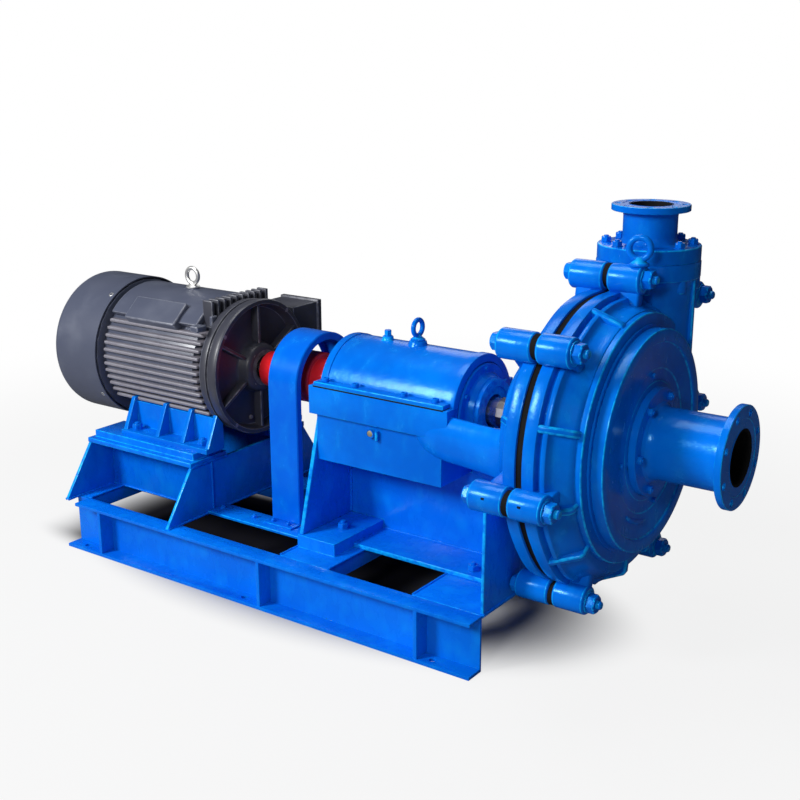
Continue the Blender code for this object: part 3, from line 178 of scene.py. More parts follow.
class Graph:
    """The node tree of one material or world."""

    def __init__(self, owner: bpy.types.Material | bpy.types.World) -> None:
        """Empty the owner's node tree.

        Args:
            owner: the material or world that is built.
        """
        self.owner = owner
        owner.use_nodes = True
        self.tree = owner.node_tree
        self.tree.nodes.clear()

    def node(
        self,
        kind: str,
        settings: dict[str, object] | None = None,
        inputs: dict[str | int, object] | None = None,
        output: str | int = 0,
    ) -> Signal:
        """Add a node of any kind.

        Args:
            kind: the node's type.
            settings: its properties, set first.
            inputs: values or signals of its sockets, by name or number.
            output: the socket that is handed on.

        Returns:
            The output as a signal.
        """
        node = self.tree.nodes.new(kind)
        for key, value in (settings or {}).items():
            setattr(node, key, value)
        for key, value in (inputs or {}).items():
            socket = node.inputs[key]
            if isinstance(value, Signal):
                self.tree.links.new(value.socket, socket)
            elif socket.type == "RGBA":
                socket.default_value = (*value, 1.0)
            else:
                socket.default_value = value
        return Signal(self, node.outputs[output] if node.outputs else None)

    def vector(self, operation: str, first: Signal, *second: Place) -> Signal:
        """Add a Vector Math node and give its vector."""
        inputs = dict(enumerate((first, *second)))
        return self.node("ShaderNodeVectorMath", {"operation": operation}, inputs, "Vector")

    def length(self, vector: Signal) -> Signal:
        """The length of a vector."""
        return self.node("ShaderNodeVectorMath", {"operation": "LENGTH"}, {0: vector}, "Value")

    def edges(self) -> Signal:
        """1 on the faces that mark_edges found narrow, else 0."""
        return self.node("ShaderNodeAttribute", {"attribute_name": EDGE}, output="Fac")

    def noise(self, scale: float, detail: float = 3.0, stretch: Place = (1, 1, 1)) -> Signal:
        """Add noise on the object's own coordinates.

        Args:
            scale: how fine it is.
            detail: its octaves.
            stretch: how much finer it is along each axis.

        Returns:
            The noise, from 0 to 1.
        """
        where = self.node("ShaderNodeTexCoord", output="Object")
        mapped = self.node("ShaderNodeMapping", {}, {"Vector": where, "Scale": stretch}, "Vector")
        inputs = {"Vector": mapped, "Scale": scale, "Detail": detail}
        return self.node("ShaderNodeTexNoise", {}, inputs, "Fac")

    def ramp(self, value: Signal, low: float, high: float) -> Signal:
        """Turn a value into a smooth mask.

        Args:
            value: the signal.
            low: the value where the mask is 0.
            high: the value where it is 1.

        Returns:
            The mask.
        """
        smooth = {"interpolation_type": "SMOOTHSTEP"}
        inputs = {"Value": value, "From Min": low, "From Max": high}
        return self.node("ShaderNodeMapRange", smooth, inputs, "Result")

    def mask(
        self, scale: float, low: float, high: float, detail: float = 3.0, stretch: Place = (1, 1, 1)
    ) -> Signal:
        """A smooth mask of noise, between its values low and high."""
        return self.ramp(self.noise(scale, detail, stretch), low, high)

    def blend(self, mask: Signal, first: object, second: object) -> Signal:
        """Mix two colours by a mask."""
        inputs = {0: mask, 6: first, 7: second}
        return self.node("ShaderNodeMix", {"data_type": "RGBA"}, inputs, 2)

    def bump(self, height: Signal, distance: float = 1.0) -> Signal:
        """A bump of that height in metres."""
        inputs = {"Height": height, "Distance": distance, "Strength": 1.0}
        return self.node("ShaderNodeBump", {}, inputs, "Normal")

    def surface(self, **inputs: object) -> bpy.types.Material:
        """Add the Principled shader and the output.

        Args:
            inputs: the shader's sockets, with _ for each space.

        Returns:
            The material.
        """
        named = {key.replace("_", " "): value for key, value in inputs.items()}
        shader = self.node("ShaderNodeBsdfPrincipled", {}, named)
        self.node("ShaderNodeOutputMaterial", {}, {"Surface": shader})
        return self.owner


@dataclass(frozen=True)
class Recipe:
    """What every finish has: its name and its main colour."""

    name: str
    colour: Colour

    def graph(self) -> Graph:
        """The empty node tree of a new material."""
        return Graph(bpy.data.materials.new(self.name))


@dataclass(frozen=True)
class Enamel(Recipe):
    """Gloss enamel brushed over castings or plate."""

    deep: Colour
    # light: the paler tone of the runs, and the colour of the painted highlight on rounded edges
    light: Colour
    roughness: float = 0.22
    coat: float = 0.55
    lumps: float = 0.0011
    grain: float = 0.00005
    lump_scale: float = 26.0
    pit_scale_share: float = 3.2
    pit_share: float = 0.36
    shine: float = 0.34
    glint: Colour = (0.12, 0.62, 1.0)

    def make(self) -> bpy.types.Material:
        """Build paint with a painted highlight on its rounded edges, broken up by noise, with the
        casting's skin under it.

        Returns:
            The material.
        """
        graph = self.graph()
        cloud = graph.mask(scale=5.0, low=0.35, high=0.68, detail=4.0)
        runs = graph.mask(scale=22.0, low=0.45, high=0.78, stretch=(1.0, 1.0, 0.6))
        specks = graph.mask(scale=160.0, low=0.68, high=0.76, detail=2.0)
        # Noise that breaks up the painted edge highlight.
        edge_highlight_noise = graph.mask(scale=60.0, low=0.25, high=0.65)
        body = graph.blend(cloud * 0.6 + 0.4, self.deep, self.colour)
        body = graph.blend(runs * 0.14, body, self.light)
        # Painted highlight: faces on rounded edges turn toward the light colour.
        body = graph.blend(graph.edges() * edge_highlight_noise * 0.80, body, self.light)
        fine = graph.noise(scale=420.0, detail=2.0)
        lump = graph.noise(self.lump_scale)
        pits = graph.noise(self.lump_scale * self.pit_scale_share)
        relief = lump * self.lumps + pits * (self.lumps * self.pit_share) + fine * self.grain
        return graph.surface(
            Base_Color=graph.blend(specks * 0.15, body, self.deep),
            Roughness=self.roughness + runs * 0.08 + specks * 0.10,
            Coat_Weight=self.coat,
            Coat_Roughness=0.12,
            Specular_IOR_Level=self.shine,
            Specular_Tint=self.glint,
            Normal=graph.bump(relief),
        )


@dataclass(frozen=True)
class SatinPaint(Recipe):
    """Semi-gloss paint over a cast or pressed motor."""

    dusty: Colour
    roughness: float = 0.42
    grain: float = 0.00012
    lumps: float = 0.00025
    # rim: the colour of the painted highlight on rounded edges
    rim: Colour = (0.27, 0.28, 0.32)

    def make(self) -> bpy.types.Material:
        """Build dark paint with a painted highlight on its rounded edges, with a film of dust and a
        spray gun's orange peel.

        Returns:
            The material.
        """
        graph = self.graph()
        dust = graph.mask(scale=9.0, low=0.45, high=0.8, detail=5.0)
        rim_highlight_noise = graph.mask(scale=45.0, low=0.20, high=0.70)
        peel = graph.noise(scale=240.0, detail=2.0)
        lump = graph.noise(scale=34.0)
        colour = graph.blend(dust * 0.5, self.colour, self.dusty)
        # Painted highlight: faces on rounded edges turn toward the rim colour.
        return graph.surface(
            Base_Color=graph.blend(graph.edges() * rim_highlight_noise * 0.60, colour, self.rim),
            Roughness=self.roughness + dust * 0.14,
            Coat_Weight=0.12,
            Coat_Roughness=0.25,
            Normal=graph.bump(peel * self.grain + lump * self.lumps),
        )


@dataclass(frozen=True)
class BareMetal(Recipe):
    """Turned, ground or as-cast metal."""

    stained: Colour
    roughness: float
    grooves: float
    stretch: Place = (1.0, 1.0, 1.0)
    scale: float = 260.0

    def make(self) -> bpy.types.Material:
        """Build metal with the marks of its making and faint stains.

        Returns:
            The material.
        """
        graph = self.graph()
        stain = graph.mask(scale=14.0, low=0.5, high=0.78, detail=5.0)
        marks = graph.noise(self.scale, stretch=self.stretch)
        return graph.surface(
            Base_Color=graph.blend(stain, self.colour, self.stained),
            Roughness=self.roughness + marks * 0.14 + stain * 0.15,
            Metallic=1.0,
            Normal=graph.bump(marks, self.grooves),
        )


@dataclass(frozen=True)
class Moulding(Recipe):
    """Moulded plastic or rubber."""

    roughness: float = 0.55
    paler_share: float = 1.6
    lift: float = 0.004
    grain: float = 0.00005

    def make(self) -> bpy.types.Material:
        """Build a matt skin with a fine spark-eroded grain.

        Returns:
            The material.
        """
        graph = self.graph()
        grain = graph.noise(scale=900.0, detail=2.0)
        cloud = graph.mask(scale=12.0, low=0.4, high=0.7)
        pale = tuple(min(1.0, part * self.paler_share + self.lift) for part in self.colour)
        return graph.surface(
            Base_Color=graph.blend(cloud * 0.5, self.colour, pale),
            Roughness=self.roughness + grain * 0.12,
            Specular_IOR_Level=0.18,
            Normal=graph.bump(grain, self.grain),
        )


class Finish(Enum):
    """The finishes of this set, each with its recipe."""

    CAST_BLUE = Enamel(
        "cast_blue", (0.0004, 0.180, 0.80), (0.0003, 0.095, 0.56), (0.006, 0.46, 0.96), coat=0.08
    )
    PLATE_BLUE = Enamel(
        "plate_blue", (0.0004, 0.165, 0.80), (0.0003, 0.115, 0.66), (0.006, 0.46, 0.96),
        roughness=0.27, coat=0.10, lumps=0.00018, grain=0.00003, lump_scale=14.0,
    )
    SHEET_BLUE = Enamel(
        "sheet_blue", (0.0004, 0.140, 0.75), (0.0003, 0.100, 0.62), (0.005, 0.44, 0.96),
        coat=0.15, lumps=0.00012, grain=0.00002, lump_scale=12.0,
    )
    RED = Enamel(
        "coupling_red", (0.78, 0.016, 0.024), (0.58, 0.010, 0.014), (0.90, 0.08, 0.07),
        roughness=0.28, coat=0.3, lumps=0.00012, glint=(1.0, 0.8, 0.8),
    )
    # A darker copy of the motor's one charcoal paint: painted shade on the drive end shield and the
    # terminal box, and also used on the comb and the bottom fins.
    MOTOR = SatinPaint("charcoal_painted_shade", (0.040, 0.042, 0.058), (0.095, 0.095, 0.110))
    # The motor's charcoal as its lit frame, crown and cowl show it; the copies above and below are
    # darker and lighter.
    COWL = SatinPaint(
        "cowl_charcoal", (0.074, 0.085, 0.128), (0.122, 0.136, 0.185),
        roughness=0.34, grain=0.00004, lumps=0.00012,
    )
    # A lighter copy of the motor's one charcoal paint, painted light, for the side fins that catch
    # the light and the drive shield's screws.
    FIN = SatinPaint(
        "charcoal_painted_light", (0.190, 0.180, 0.215), (0.27, 0.255, 0.28), grain=0.0001, lumps=0.0002
    )
    STEEL = BareMetal(
        "bright_steel", (0.74, 0.74, 0.72), (0.52, 0.50, 0.47), 0.16, 0.00004, (1.0, 8.0, 8.0)
    )
    GROUND = BareMetal(
        "ground_steel", (0.62, 0.62, 0.64), (0.44, 0.43, 0.42), 0.18, 0.00003, (1.0, 10.0, 10.0)
    )
    SLEEVE = BareMetal(
        "sleeve_steel", (0.20, 0.20, 0.215), (0.10, 0.095, 0.09), 0.30, 0.00003, (1.0, 10.0, 10.0)
    )
    IRON = BareMetal(
        "white_iron", (0.30, 0.30, 0.31), (0.17, 0.15, 0.14), 0.42, 0.0004, scale=70.0
    )
    CORE = BareMetal(
        "core_plates", (0.34, 0.33, 0.32), (0.20, 0.17, 0.15), 0.40, 0.0002, (60.0, 0.5, 0.5), 30.0
    )
    BRASS = BareMetal("sight_brass", (0.95, 0.84, 0.58), (0.74, 0.58, 0.34), 0.30, 0.00003)
    PLASTIC = Moulding("fan_plastic", (0.020, 0.020, 0.022))
    RUBBER = Moulding("liner_rubber", (0.0045, 0.0045, 0.0050), 0.80)

    def material(self) -> bpy.types.Material:
        """The material of this finish, made once."""
        return bpy.data.materials.get(self.value.name) or self.value.make()


# Modelling tools


@dataclass(frozen=True)
class Bench:
    """Makes and shapes meshes with Blender's own operators."""

    merge: float = 1e-5
    flat_degrees: float = 0.6
    sharp_degrees: float = 32.0
    bead_pitch: float = 0.0022
    bead_sides: int = 8
    ripple: Point = (0.16, 1.9)
    drift: Point = (0.07, 0.31)

    def only(self, *pieces: Piece) -> None:
        """Select these pieces alone, the first one active.

        Args:
            pieces: the pieces; none just deselects.
        """
        bpy.ops.object.select_all(action="DESELECT")
        for piece in pieces:
            piece.select_set(True)
        if pieces:
            bpy.context.view_layer.objects.active = pieces[0]

    def edited(self, piece: Piece, *steps: Callable[[], object]) -> Piece:
        """Run operators in edit mode on the whole piece.

        Args:
            piece: the piece.
            steps: what is called in edit mode, in order.

        Returns:
            The piece.
        """
        self.only(piece)
        bpy.ops.object.mode_set(mode="EDIT")
        bpy.ops.mesh.select_all(action="SELECT")
        for step in steps:
            step()
        bpy.ops.object.mode_set(mode="OBJECT")
        return piece

    def outward(self) -> None:
        """Point all faces outward, in edit mode."""
        bpy.ops.mesh.select_all(action="SELECT")
        bpy.ops.mesh.normals_make_consistent(inside=False)

    def cleaned(self, piece: Piece) -> Piece:
        """Merge doubles, drop loose edges and point the faces outward.

        Args:
            piece: the piece.

        Returns:
            The piece.
        """
        return self.edited(
            piece,
            lambda: bpy.ops.mesh.remove_doubles(threshold=self.merge),
            lambda: bpy.ops.mesh.delete_loose(use_verts=True, use_edges=True, use_faces=False),
            self.outward,
        )

    def made(self, name: str) -> Piece:
        """Name the primitive that was just added.

        Args:
            name: the piece's name.

        Returns:
            The piece.
        """
        piece = bpy.context.active_object
        piece.name = piece.data.name = name
        return piece

    def outline(self, name: str, points: Sequence[Place], fill: str) -> Piece:
        """Move the corners of a circle primitive to these points.

        Args:
            name: the piece's name.
            points: the corners, in order.
            fill: the primitive's fill type.

        Returns:
            The flat piece.
        """
        self.only()
        bpy.ops.mesh.primitive_circle_add(vertices=len(points), fill_type=fill)
        piece = self.made(name)
        for vertex, point in zip(piece.data.vertices, points):
            vertex.co = point
        return piece

    def turned(
        self,
        name: str,
        profile: Sequence[Point],
        axis: Axis = Axis.X,
        centre: Point = AXLE,
        steps: int = 96,
    ) -> Piece:
        """Spin a closed profile round an axis.

        Args:
            name: the piece's name.
            profile: corners as (place along the axis, radius).
            axis: the axis it turns round.
            centre: where that axis passes.
            steps: the steps of the turn.

        Returns:
            The closed solid.
        """
        corners = [axis.place((centre[0] + radius, centre[1]), along) for along, radius in profile]
        spin = {
            "steps": steps,
            "angle": math.tau,
            "center": axis.place(centre, 0.0),
            "axis": axis.place((0.0, 0.0), 1.0),
        }
        piece = self.outline(name, corners, "NOTHING")
        self.edited(piece, lambda: bpy.ops.mesh.spin(**spin))
        return self.cleaned(piece)

    def plate(
        self, name: str, corners: Sequence[Point], axis: Axis, low: float, high: float
    ) -> Piece:
        """Extrude a flat outline along an axis.

        Args:
            name: the piece's name.
            corners: the outline, across the axis.
            axis: the axis it is extruded along.
            low: where it starts.
            high: where it ends.

        Returns:
            The closed solid.
        """
        piece = self.outline(name, [axis.place(corner, low) for corner in corners], "NGON")
        move = {"value": axis.place((0.0, 0.0), high - low)}
        self.edited(piece, lambda: bpy.ops.mesh.extrude_region_move(TRANSFORM_OT_translate=move))
        return self.cleaned(piece)

    def lofted(
        self, name: str, rings: Sequence[Sequence[Place]], around: bool = False
    ) -> Piece:
        """Skin closed rings of equal count with a grid primitive.

        Args:
            name: the piece's name.
            rings: the rings, in order.
            around: whether the last ring joins the first; else both ends are filled.

        Returns:
            The closed solid.
        """
        rows = [[*ring, ring[0]] for ring in rings]
        if around:
            rows.append(rows[0])
        columns = len(rows[0]) - 1
        self.only()
        bpy.ops.mesh.primitive_grid_add(x_subdivisions=columns, y_subdivisions=len(rows) - 1)
        piece = self.made(name)
        flat = [number for row in rows for point in row for number in point]
        piece.data.vertices.foreach_set("co", flat)
        self.cleaned(piece)
        if around:
            return piece
        return self.edited(piece, lambda: bpy.ops.mesh.fill_holes(sides=0), self.outward)

    def block(self, name: str, low: Place, high: Place, edge: float, steps: int) -> Piece:
        """Add a cube primitive between two corners with rounded edges.

        Args:
            name: the piece's name.
            low: its lowest corner.
            high: its highest corner.
            edge: the width of the rounding.
            steps: the faces of the rounding.

        Returns:
            The block.
        """
        self.only()
        bpy.ops.mesh.primitive_cube_add(size=1.0)
        piece = self.made(name)
        piece.location = [(first + second) / 2 for first, second in zip(low, high)]
        piece.scale = [second - first for first, second in zip(low, high)]
        return self.eased(self.settled(piece), edge, steps)

    def settled(
        self, piece: Piece, matrix: Matrix | None = None
    ) -> Piece:
        """Put the piece's place, turn and scale into its mesh.

        Args:
            piece: the piece.
            matrix: where it is put first, if anywhere.

        Returns:
            The piece.
        """
        if matrix is not None:
            piece.matrix_world = matrix
        self.only(piece)
        bpy.ops.object.transform_apply(location=True, rotation=True, scale=True)
        return piece

    def applied(self, piece: Piece, kind: str, **settings: object) -> Piece:
        """Add a modifier and apply it.

        Args:
            piece: the piece.
            kind: the modifier's type.
            settings: its properties.

        Returns:
            The piece.
        """
        self.only(piece)
        modifier = piece.modifiers.new(kind.title(), kind)
        for key, value in settings.items():
            setattr(modifier, key, value)
        bpy.ops.object.modifier_apply(modifier=modifier.name)
        return piece

    def eased(
        self, piece: Piece, width: float, steps: int = 2, degrees: float | None = None
    ) -> Piece:
        """Round the sharp edges.

        Args:
            piece: the piece.
            width: the width of the rounding.
            steps: its faces.
            degrees: edges above this angle are rounded.

        Returns:
            The piece.
        """
        limit = math.radians(degrees or self.sharp_degrees)
        sharp = {"limit_method": "ANGLE", "angle_limit": limit}
        return self.applied(piece, "BEVEL", width=width, segments=steps, **sharp)

    def cut(self, piece: Piece, cutters: Sequence[Piece]) -> Piece:
        """Take the cutters out of the piece and use them up.

        Args:
            piece: the piece.
            cutters: solids that don't meet each other.

        Returns:
            The piece.
        """
        cutter = self.joined("cutter", cutters)
        self.applied(piece, "BOOLEAN", object=cutter, operation="DIFFERENCE", solver="EXACT")
        bpy.data.objects.remove(cutter)
        return piece

    def drill(
        self, axis: Axis, along: float, spot: Point, radius: float, depth: float
    ) -> Piece:
        """Make a drill for cut.

        Args:
            axis: the axis of the hole.
            along: the drill's middle along it.
            spot: where it passes.
            radius: the hole's radius.
            depth: how far the drill reaches to both sides.

        Returns:
            The drill.
        """
        low, high = along - depth, along + depth
        profile = [(low, 0), (low, radius), (high, radius), (high, 0)]
        return self.turned("drill", profile, axis, spot, 32)

    def copied(self, piece: Piece, name: str, matrix: Matrix) -> Piece:
        """Copy a piece with its own mesh.

        Args:
            piece: what is copied.
            name: the copy's name.
            matrix: where the copy goes.

        Returns:
            The copy.
        """
        copy = bpy.data.objects.new(name, piece.data.copy())
        bpy.context.collection.objects.link(copy)
        return self.settled(copy, matrix)

    def joined(self, name: str, pieces: Sequence[Piece]) -> Piece:
        """Make one piece of several.

        Args:
            name: the new piece's name.
            pieces: the pieces, which it uses up.

        Returns:
            The piece.
        """
        self.only(*pieces)
        if len(pieces) > 1:
            bpy.ops.object.join()
        pieces[0].name = pieces[0].data.name = name
        return pieces[0]

    def spread(
        self, name: str, pattern: Piece, places: Sequence[Matrix]
    ) -> Piece:
        """Copy one pattern to its places as one piece, and use up the pattern.

        Args:
            name: the new piece's name.
            pattern: what is copied.
            places: where the copies go.

        Returns:
            The copies, joined.
        """
        copies = [self.copied(pattern, f"{name}_{index}", at) for index, at in enumerate(places)]
        bpy.data.objects.remove(pattern)
        return self.joined(name, copies)

    def merged(self, node: str, edge: float, steps: int) -> Piece:
        """Copy a CAD node with its facets welded and its edges rounded.

        Args:
            node: the node's name.
            edge: the width of the rounding.
            steps: the faces of the rounding.

        Returns:
            The new piece.
        """
        piece = bpy.data.objects.new(f"{node}_dressed", nodes_of_frame[node].data.copy())
        bpy.context.collection.objects.link(piece)
        self.edited(
            piece,
            lambda: bpy.ops.mesh.remove_doubles(threshold=self.merge),
            lambda: bpy.ops.mesh.dissolve_limited(angle_limit=math.radians(self.flat_degrees)),
        )
        return self.eased(piece, edge, steps)

    def weld(self, first: Place, last: Place, radius: float) -> Piece:
        """Lay a rippled weld bead along a straight line.

        Args:
            first: where it starts.
            last: where it ends.
            radius: its mean radius.

        Returns:
            The bead.
        """
        start, run = Vector(first), Vector(last) - Vector(first)
        along = run / run.length
        side = along.orthogonal().normalized()
        up = along.cross(side)
        count = max(2, int(run.length / self.bead_pitch))
        rings = []
        for index in range(count + 1):
            middle = start + along * (run.length * index / count)
            waves = [part * math.sin(index * pace) for part, pace in (self.ripple, self.drift)]
            size = radius * (1 + waves[0] + waves[1])
            spokes = [side * math.cos(a) + up * math.sin(a) for a in turn(self.bead_sides)]
            rings.append([tuple(middle + spoke * size) for spoke in spokes])
        return self.lofted("bead", rings)

    def mark_edges(self, piece: Piece, width: float) -> None:
        """Store on each face whether it is narrow, as on a rounded edge, for the finishes to read.

        Args:
            piece: the piece.
            width: a face up to this wide counts as an edge.
        """
        mesh = piece.data
        points = [vertex.co for vertex in mesh.vertices]
        flags = []
        for face in mesh.polygons:
            corners = list(face.vertices)
            pairs = zip(corners, corners[1:] + corners[:1])
            longest = max((points[a] - points[b]).length for a, b in pairs)
            flags.append(float(face.area < width * longest and longest > 1.5 * width))
        mesh.attributes.new(EDGE, "FLOAT", "FACE").data.foreach_set("value", flags)


bench = Bench()
nodes_of_frame: dict[str, Piece] = {}


@dataclass(frozen=True)
class Hardware:
    """Standard fasteners, each standing on the origin along +Z, made once to be copied."""

    hexagon_steps: int = 36
    hexagon_levels: tuple[Place, ...] = (
        (0.0, 0.96, 0.96), (0.06, 1.0, 2.0), (0.80, 1.0, 2.0), (0.90, 1.0, 1.07), (1.0, 1.0, 0.97),
    )
    disc_steps: int = 40
    washer: Place = (0.62, 0.14, 0.03)
    stud: Point = (0.27, 0.05)
    screw_edge: float = 0.16
    socket_floor: float = 0.45

    def hexagon(self, across: float, height: float) -> Piece:
        """Loft a hexagon with turned corners.

        Args:
            across: its width across flats.
            height: its height.

        Returns:
            The hexagon.
        """
        reach = across / 2
        rings = []
        for level, size, limit in self.hexagon_levels:
            ring = []
            for angle in turn(self.hexagon_steps):
                local = (angle % (math.pi / 3)) - math.pi / 6
                radius = min(reach * size / math.cos(local), reach * limit)
                ring.append((*polar(radius, angle, (0.0, 0.0)), height * level))
            rings.append(ring)
        return bench.lofted("hexagon", rings)

    def disc(self, radius: float, height: float, edge: float) -> Piece:
        """Turn a disc with eased edges.

        Args:
            radius: its radius.
            height: its height.
            edge: how far its corners are cut back.

        Returns:
            The disc.
        """
        profile = [
            (0.0, radius - edge), (edge, radius), (height - edge, radius), (height, radius - edge),
            (height, 0.0), (0.0, 0.0),
        ]
        return bench.turned("disc", profile, Axis.Z, (0.0, 0.0), self.disc_steps)

    def nut(self, across: float, height: float, stud: float = 0.0) -> Piece:
        """Make a nut or head on a washer.

        Args:
            across: its width across flats.
            height: the nut's height.
            stud: how far its stud stands out, or zero for none.

        Returns:
            The nut.
        """
        radius_share, rise_share, edge_share = self.washer
        rise = height * rise_share
        washer = self.disc(across * radius_share, rise, height * edge_share)
        head = bench.settled(self.hexagon(across, height), Matrix.Translation((0, 0, rise)))
        parts = [washer, head]
        if stud:
            stud_share, end_share = self.stud
            length = height * (1 + rise_share) + stud
            parts.append(self.disc(across * stud_share, length, across * end_share))
        return bench.joined("nut", parts)

    def cap_screw(self, radius: float, height: float) -> Piece:
        """Make a socket cap screw's head.

        Args:
            radius: its radius.
            height: its height.

        Returns:
            The head.
        """
        head = self.disc(radius, height, radius * self.screw_edge)
        floor = Matrix.Translation((0, 0, height * self.socket_floor))
        return bench.cut(head, [bench.settled(self.hexagon(radius, height), floor)])

    def eye(self, ring: float, wire: float, foot: float) -> Piece:
        """Make a lifting eye, a ring in the XZ plane on a collar.

        Args:
            ring: the ring's mean radius.
            wire: the radius of its wire.
            foot: the collar's height.

        Returns:
            The eye.
        """
        bench.only()
        bpy.ops.mesh.primitive_torus_add(
            major_radius=ring, minor_radius=wire, major_segments=48, minor_segments=18,
            rotation=(math.pi / 2, 0, 0),
        )
        loop = bench.made("loop")
        loop.location.z = foot + ring + wire * 0.4
        bench.settled(loop)
        profile = [
            (0.0, 0.0), (0.0, ring * 0.92), (foot * 0.35, ring * 0.95), (foot * 0.55, ring * 0.80),
            (foot * 1.1, wire * 1.5), (foot * 1.7, wire * 1.1), (foot * 1.7, 0.0),
        ]
        collar = bench.turned("collar", profile, Axis.Z, (0.0, 0.0), self.disc_steps)
        return bench.joined("eye", [collar, loop])


hardware = Hardware()


class Body(Enum):
    """The bodies of the CAD frame."""

    SET = "pump_set"
    MOTOR = "motor_spindle"
    PUMP = "pump_spindle"


@dataclass
class Assembly:
    """What every sub-assembly shares: it dresses pieces and reports them."""

    def dress(
        self,
        piece: Piece,
        finish: Finish,
        *nodes: str,
        body: Body = Body.SET,
        sharp: float = 34.0,
        edges: bool = True,
        narrow: float = NARROW,
    ) -> None:
        """Finish a new piece and put it in the frame.

        Args:
            piece: the new piece.
            finish: its finish.
            nodes: the CAD nodes that it stands for.
            body: the body that it rides on.
            sharp: edges above this angle in degrees stay sharp.
            edges: whether its rounded edges get the finish's painted highlight.
            narrow: a face up to this width counts as an edge.
        """
        piece.data.materials.clear()
        piece.data.materials.append(finish.material())
        if edges:
            bench.mark_edges(piece, narrow)
        bench.only(piece)
        bpy.ops.object.shade_smooth_by_angle(angle=math.radians(sharp))
        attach(piece, body.value)
        if nodes:
            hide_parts(*nodes)
        log.info("%s: %d faces, %s", piece.name, len(piece.data.polygons), finish.value.name)

    def fasten(
        self,
        name: str,
        pattern: Piece,
        places: Sequence[Matrix],
        finish: Finish = Finish.CAST_BLUE,
        *nodes: str,
        edges: bool = False,
        **options: object,
    ) -> None:
        """Copy a fastener or fin to its places and dress them as one piece."""
        self.dress(bench.spread(name, pattern, places), finish, *nodes, edges=edges, **options)

    def rework(
        self, node: str, finish: Finish, edge: float, steps: int = 3, narrow: float = NARROW
    ) -> None:
        """Dress a welded copy of a CAD node with rounded edges."""
        self.dress(bench.merged(node, edge, steps), finish, node, narrow=narrow)

    def weld_up(self, name: str, lines: Sequence[Sequence[Place]], radius: float) -> None:
        """Lay beads along straight lines, as one piece."""
        beads = [bench.weld(*line, radius) for line in lines]
        self.dress(bench.joined(name, beads), Finish.PLATE_BLUE, sharp=60, edges=False)

    def paint(self, finish: Finish, *nodes: str) -> None:
        """Give CAD nodes a finish as they are.

        Args:
            finish: the finish.
            nodes: the nodes' names.
        """
        for node in nodes:
            piece = nodes_of_frame[node]
            piece.data.materials.clear()
            piece.data.materials.append(finish.material())
            log.info("%s: painted %s", node, finish.value.name)


# Base and stand


@dataclass
class WeldedBase(Assembly):
    """Two channels, cross plates, guard rails and the motor's stand, all welded plate."""

    plates: tuple[str, ...] = (
        "base_channel_near", "base_channel_far",
        "base_cross_rear", "base_cross_middle", "base_cross_front",
        "guard_rail_near", "guard_rail_far",
        "stand_plate_rear", "stand_plate_front", "stand_web_near", "stand_web_far",
    )
    edge: float = 0.0022
    # Wider faces count as edges on the stand plates, for a broader painted highlight.
    edge_highlight_width: float = 0.0112
    bead: float = 0.0040
    top: float = 0.168
    proud: float = 0.0006
    stand_ends: Point = (-0.330, -0.824)
    sheet: float = 0.012
    half: float = 0.400
    web_side: float = 0.1905
    web_ends: Point = (-0.811, -0.343)
    web_head: float = 0.3446
    upright: Point = (0.1726, 0.343)
    head_reach: Point = (0.118, 0.280)
    head: float = 0.3450
    stiffeners: Place = (-0.656, 0.054, 0.637)
    stiffener: Point = (0.0062, 0.350152)
    stiffener_rise: Point = (0.012, 0.156)
    crosses: tuple[float, ...] = (0.093, 0.280, 0.585, 0.818, -0.765)
    cross_reach: Point = (0.100, 0.3400)
    rail_bolts: Point = (-0.300, -0.160)
    rail_side: float = 0.176
    rail_top: float = 0.1783

    def build(self) -> None:
        """Make every piece of the base and the stand."""
        for node in self.plates:
            narrow = self.edge_highlight_width if node.startswith("stand_plate") else NARROW
            self.rework(node, Finish.PLATE_BLUE, self.edge, 2, narrow)
        self.beads()
        bolt = hardware.nut(0.016, 0.008, 0.003)
        places = in_rows(self.rail_bolts, self.rail_side, self.rail_top)
        self.fasten("guard_rail_bolts", bolt, places, Finish.PLATE_BLUE)

    def beads(self) -> None:
        """Weld beads along the plates' feet, the stiffeners and the stand's joints."""
        top = self.top + self.proud
        front, rear = self.stand_ends
        feet = (rear, rear + self.sheet, front, front - self.sheet)
        lines = [[(x, -self.half, top), (x, self.half, top)] for x in feet]
        face, reach = self.stiffener
        for side in SIDES:
            web = side * self.web_side
            lines += [[(x, web, level) for x in self.web_ends] for level in (top, self.web_head)]
            for x in self.stand_ends:
                lines.append([(x, web, level) for level in self.upright])
                lines.append([(x, side * y, self.head) for y in self.head_reach])
            for x in self.stiffeners:
                for at in (x - face, x + face):
                    lines.append([(at, side * reach, z) for z in self.stiffener_rise])
            for x in self.crosses:
                lines.append([(x, side * y, self.top - self.proud) for y in self.cross_reach])
        self.weld_up("base_welds", lines, self.bead)


# Motor


